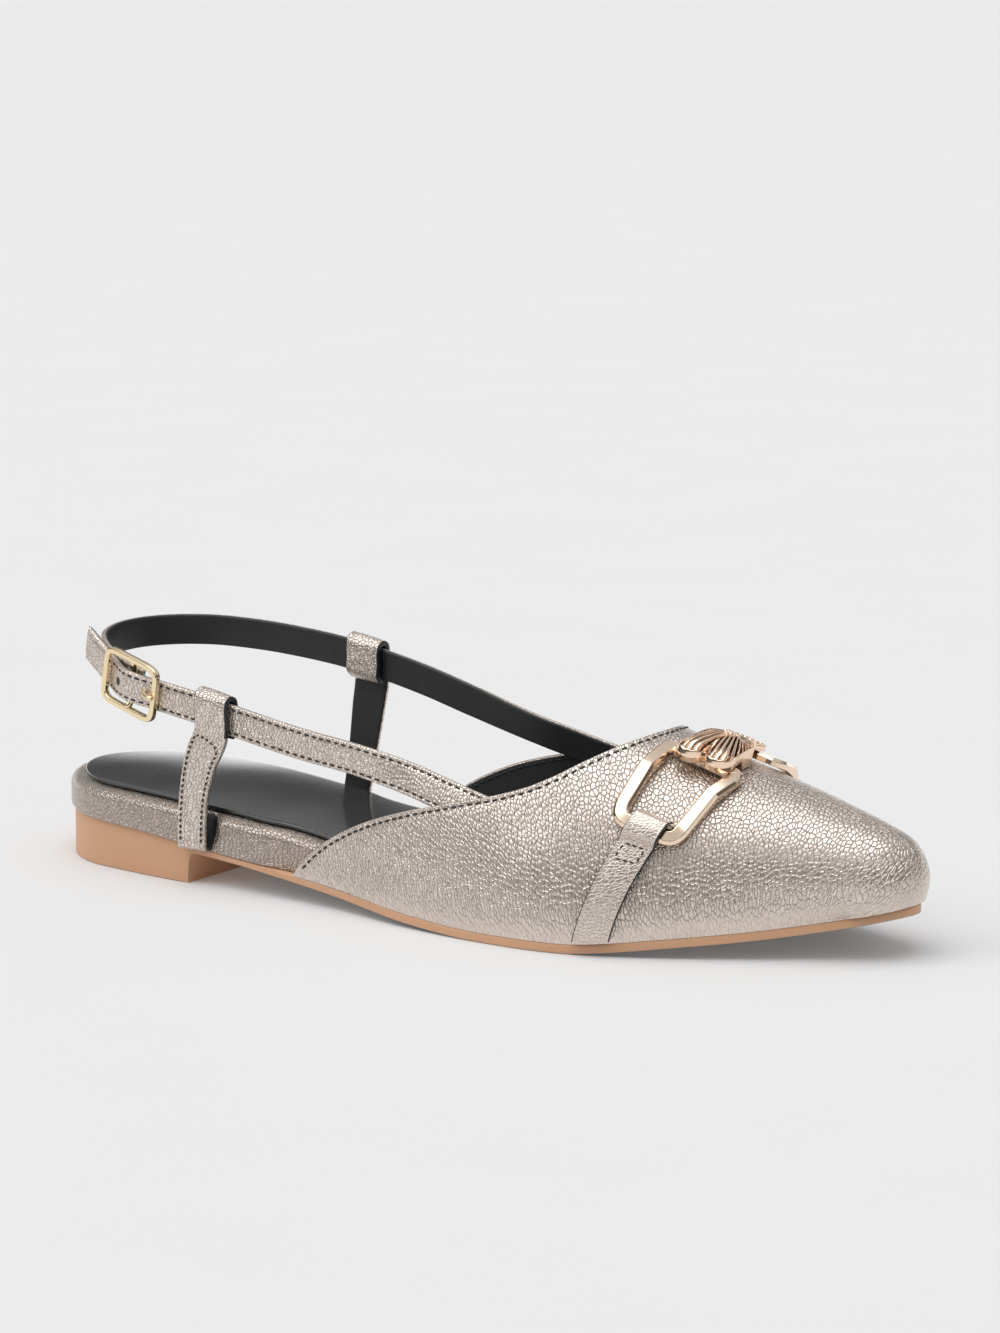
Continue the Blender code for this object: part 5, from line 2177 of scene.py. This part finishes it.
    def link(self, side: Side) -> Shape:
        """Bevelled ring on the side of the upper, each long bar of two flat facets that meet at a low angle.

        Args:
            side: Side of the foot.

        Returns:
            Its shape.
        """
        corner = np.radians([16, 26, 36, 45, 54, 64, 74])
        turn = np.concatenate([np.concatenate([[k * np.pi / 2], k * np.pi / 2 + corner]) for k in range(4)])
        forward = (1 + signed_power(np.cos(turn), 2 / self.squareness)) / 2
        upward = (1 + signed_power(np.sin(turn), 2 / self.squareness)) / 2
        upward[[0, len(turn) // 2]] = self.link_kink
        shares = {
            LINK_LOWER_REAR: (1 - forward) * (1 - upward),
            LINK_LOWER_FRONT: forward * (1 - upward),
            LINK_UPPER_REAR: (1 - forward) * upward,
            LINK_UPPER_FRONT: forward * upward,
        }
        x = sum(share * place.x for place, share in shares.items())
        arc = side.arc(sum(share * place.arc for place, share in shares.items()))
        middle = self.last.on_side(x, arc, self.seat)
        normal = self.last.normal(self.last.station_of(x), arc)
        across = unit(np.cross(ring_heading(middle), normal))
        half = self.bar_width / 2
        tall = self.bar_height
        foot = self.link_foot * tall
        shoulder = self.link_shoulder * tall
        flat = self.link_flat * half
        profile = np.array([
            (-half, foot),
            (-half, shoulder),
            (-flat, tall),
            (flat, tall),
            (half, shoulder),
            (half, foot),
            (-half, foot),
        ])
        peak = np.zeros(len(turn))
        peak[[0, len(turn) // 2]] = self.link_peak
        high = profile[None, :, 1:] * (1 + peak[:, None, None] / tall)
        rows = middle[:, None] + profile[None, :, :1] * across[:, None] + high * normal[:, None]
        shape = draped(np.concatenate([rows, rows[:1]]))
        crisp = [edge for edge in shape.edges if edge.calc_face_angle(0.0) > self.link_edge_from]
        bmesh.ops.bevel(
            shape,
            geom=crisp,
            offset=self.link_edge * MM,
            affect="EDGES",
            segments=2,
            profile=0.5,
            material=-1,
        )
        return shape

    def rosette(self) -> tuple[Array, Array]:
        """Ribbed ornament across the ridge, with two lobes at each end that cover the links' upper bars.

        Returns:
            Its points, top and underside, and how deep in a groove each one lies.
        """
        bend = np.sin(np.linspace(-np.pi / 2, np.pi / 2, self.rosette_columns))
        sweep = np.sin(np.linspace(-np.pi / 2, np.pi / 2, self.rosette_rows))
        forward = np.concatenate([sweep, sweep[::-1][1:]])[:, None]
        sideways = bend[None, :]
        over = np.concatenate([np.ones(len(sweep)), np.zeros(len(sweep) - 1)])[:, None]
        outer = ease(0.1, -0.1, sideways)
        notch = self.rosette_notch
        lobes = notch + (1 - notch) * np.sqrt(1 - ((np.abs(forward) - 0.5) / 0.55) ** 2)
        wing = self.rosette_inner_share * (1 - 0.12 * forward**4)
        reach = sideways * (outer * lobes + (1 - outer) * wing)
        narrow = 1 - self.rosette_narrowing * ease(*self.rosette_narrow_over, sideways)
        waist = 1 - self.rosette_waist * (1 - np.abs(sideways))
        ahead = self.rosette_half_length * forward * narrow * waist
        arc = 0.5 + self.rosette_half_arc * reach
        bar_top = self.seat + self.bar_height + self.last.gap
        clear = ease(*self.rosette_clear_arcs, np.abs(arc - 0.5))
        base = self.last.gap + (bar_top - self.last.gap) * clear
        edge = np.maximum(np.abs(forward), np.abs(sideways))
        relief, groove_shade_marks = self.rosette_relief(ahead, self.rosette_half_width * reach, edge)
        level = np.where(over > 0, bar_top + self.rosette_edge + relief, base)
        level = np.where(edge > 1 - 1e-9, (base + bar_top + 0.5 * self.rosette_edge) / 2, level)
        points = self.last.on_side(self.rosette_x + ahead, arc, level)
        return points, np.broadcast_to(groove_shade_marks * over, level.shape)

    def rosette_relief(self, ahead: Array, aside: Array, edge: Array) -> tuple[Array, Array]:
        """Relief of the ornament: two rounded leaves, a low wing, a rim, grooves and a knob.

        Args:
            ahead: Millimetres forward of the middle.
            aside: Millimetres to the inner side of the middle.
            edge: 0 in the middle to 1 at the edge.

        Returns:
            Height over the edge, and how deep in a groove each place lies, which marks the painted shade in
            the grooves.
        """
        outer = ease(1.0, -1.0, aside)
        out = np.abs(aside) / self.lobe_out
        ball = np.hypot(np.abs(ahead) - self.lobe_apart, aside + self.lobe_out) / self.lobe_radius
        cap = np.clip(1 - ball**2, 0, 1)
        from_middle = np.hypot(ahead, aside)
        swept = np.abs(ahead) - self.lobe_apart * np.clip(out, 0, 1) ** 0.7
        stream = outer * swept + (1 - outer) * np.abs(ahead)
        wave = np.cos(2 * np.pi * stream / (self.rib_pitch + self.rib_spread * out))
        inside = ease(*self.rib_ends, edge)
        fade = inside * ease(0.7, 1.6, from_middle / self.knob_radius)
        groove = np.clip(self.rib_gap - wave, 0, 1) * fade * (0.5 + 0.5 * ease(0.3, 1.0, ball))
        valley = bump_at(ahead, 0.7) * ease(0.5, 0.95, out) * inside * outer
        rays = np.cos(self.knob_rays * np.arctan2(ahead, aside))
        rays = self.knob_ray_rise * rays * ease(0.3, 0.9, from_middle / self.knob_radius)
        knob = bump_at(from_middle, self.knob_radius) * (self.knob_rise + rays)
        body = self.wing_share + (1 - self.wing_share) * ease(*self.wing_step, aside)
        round_end = np.sqrt(np.clip(1 - edge**4, 0, 1))
        dome = self.rosette_dome * body * round_end
        rim = self.rosette_rim * bump_at(edge - self.rosette_rim_share, self.rosette_rim_reach)
        rounded = np.sqrt(np.clip(1 - (swept / self.leaf_half) ** 2, 0, 1))
        leaf = self.leaf_rise * outer * round_end * rounded
        cut = self.rosette_groove * groove + self.rosette_valley * valley
        height = dome + rim + leaf + self.lobe_rise * cap + knob - cut
        # The second value marks painted shade in the rib grooves and the valley.
        return height, np.clip(1.2 * groove + 0.8 * valley, 0, 1)


@dataclass
class Studio:
    """Pale floor, soft light from above and the camera at the photograph's angle."""

    image: tuple[int, int] = (1000, 1333)
    turn: float = radians(34.8)
    rise: float = radians(10.62)
    distance: float = 1300.0
    look: Triple = (137.66, 0.0, 62.73)
    pixels_per_mm: float = 3.87
    sensor: float = 36.0
    floor_half: float = 14.0
    wall_top: float = 0.28
    ceiling: float = 0.6
    strip: tuple[float, float] = (0.09, 0.22)
    strip_behind: tuple[float, float] = (0.3, 0.8)
    wall_behind: tuple[float, float] = (-0.3, 0.5)
    strip_tone: Colour = (1.3, 1.3, 1.3)
    front_tone: Colour = (0.125, 0.125, 0.125)
    back_tone: Colour = (0.08, 0.08, 0.08)
    ceiling_tone: Colour = (0.59, 0.59, 0.59)

    def build(self) -> None:
        """Builds floor, light and camera."""
        self.camera()
        self.floor()
        self.light()

    def camera(self) -> None:
        """Camera that looks down at the outer side."""
        back = Vector((sin(self.turn) * cos(self.rise), -cos(self.turn) * cos(self.rise), sin(self.rise)))
        lens = bpy.data.cameras.new("camera")
        lens.sensor_width = self.sensor
        lens.lens = self.pixels_per_mm * self.distance * self.sensor / max(self.image)
        lens.clip_end = 100.0
        camera = bpy.data.objects.new("camera", lens)
        camera.location = Vector((np.array(self.look) - ORIGIN) * MM) + back * self.distance * MM
        camera.rotation_euler = (-back).to_track_quat("-Z", "Y").to_euler()
        bpy.context.scene.collection.objects.link(camera)
        bpy.context.scene.camera = camera

    def floor(self) -> None:
        """Plain sheet of paper under the shoe."""
        shape = bmesh.new()
        bmesh.ops.create_grid(shape, x_segments=1, y_segments=1, size=self.floor_half)
        mesh = bpy.data.meshes.new("floor")
        shape.to_mesh(mesh)
        shape.free()
        mesh.materials.append(PaperFloor().material())
        floor = bpy.data.objects.new("floor", mesh)
        bpy.context.scene.collection.objects.link(floor)

    def light(self) -> None:
        """Broad light from above, a weak one from the left, and a room with a lit strip low at the back."""
        self.lamp("light_above", source=(-0.02, -0.17, 1.0), strength=1.4, angle=radians(56))
        self.lamp("light_left", source=(-0.55, -0.62, 0.62), strength=0.6, angle=radians(36))
        scene = bpy.context.scene
        world = bpy.data.worlds.new("room")
        world.use_nodes = True
        nodes = Nodes(world.node_tree)
        facing = nodes.place("Generated")
        rise = nodes.axis(facing, "Z")
        behind = nodes.axis(facing, "Y") * cos(self.turn) - nodes.axis(facing, "X") * sin(self.turn)
        wall = nodes.mix(behind.between(*self.wall_behind), self.front_tone, self.back_tone)
        lit = (1 - rise.between(*self.strip)) * behind.between(*self.strip_behind)
        room = nodes.mix(lit, wall, self.strip_tone)
        glow = nodes.mix(rise.between(self.wall_top, self.ceiling), room, self.ceiling_tone)
        nodes.feed(world.node_tree.nodes["Background"].inputs["Color"], glow)
        scene.world = world
        scene.view_settings.view_transform = "Standard"

    @staticmethod
    def lamp(name: str, source: Triple, strength: float, angle: float) -> None:
        """Adds a broad distant light.

        Args:
            name: Name of the light.
            source: Direction that it comes from.
            strength: Its strength.
            angle: How broad it looks.
        """
        lamp = bpy.data.lights.new(name, "SUN")
        lamp.energy = strength
        lamp.angle = angle
        placed = bpy.data.objects.new(name, lamp)
        placed.rotation_euler = Vector(source).to_track_quat("Z", "Y").to_euler()
        bpy.context.scene.collection.objects.link(placed)


def main() -> None:
    """Builds the studio and the shoe's sub-assemblies in order."""
    logging.basicConfig(level=logging.INFO, format="%(name)s %(message)s")
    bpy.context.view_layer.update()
    Studio().build()
    last = Last()
    finishes = Finishes()
    for assembly in (Bottom, Vamp, Strapping, Bit):
        assembly(last, finishes).build()


if __name__ == "__main__":
    main()
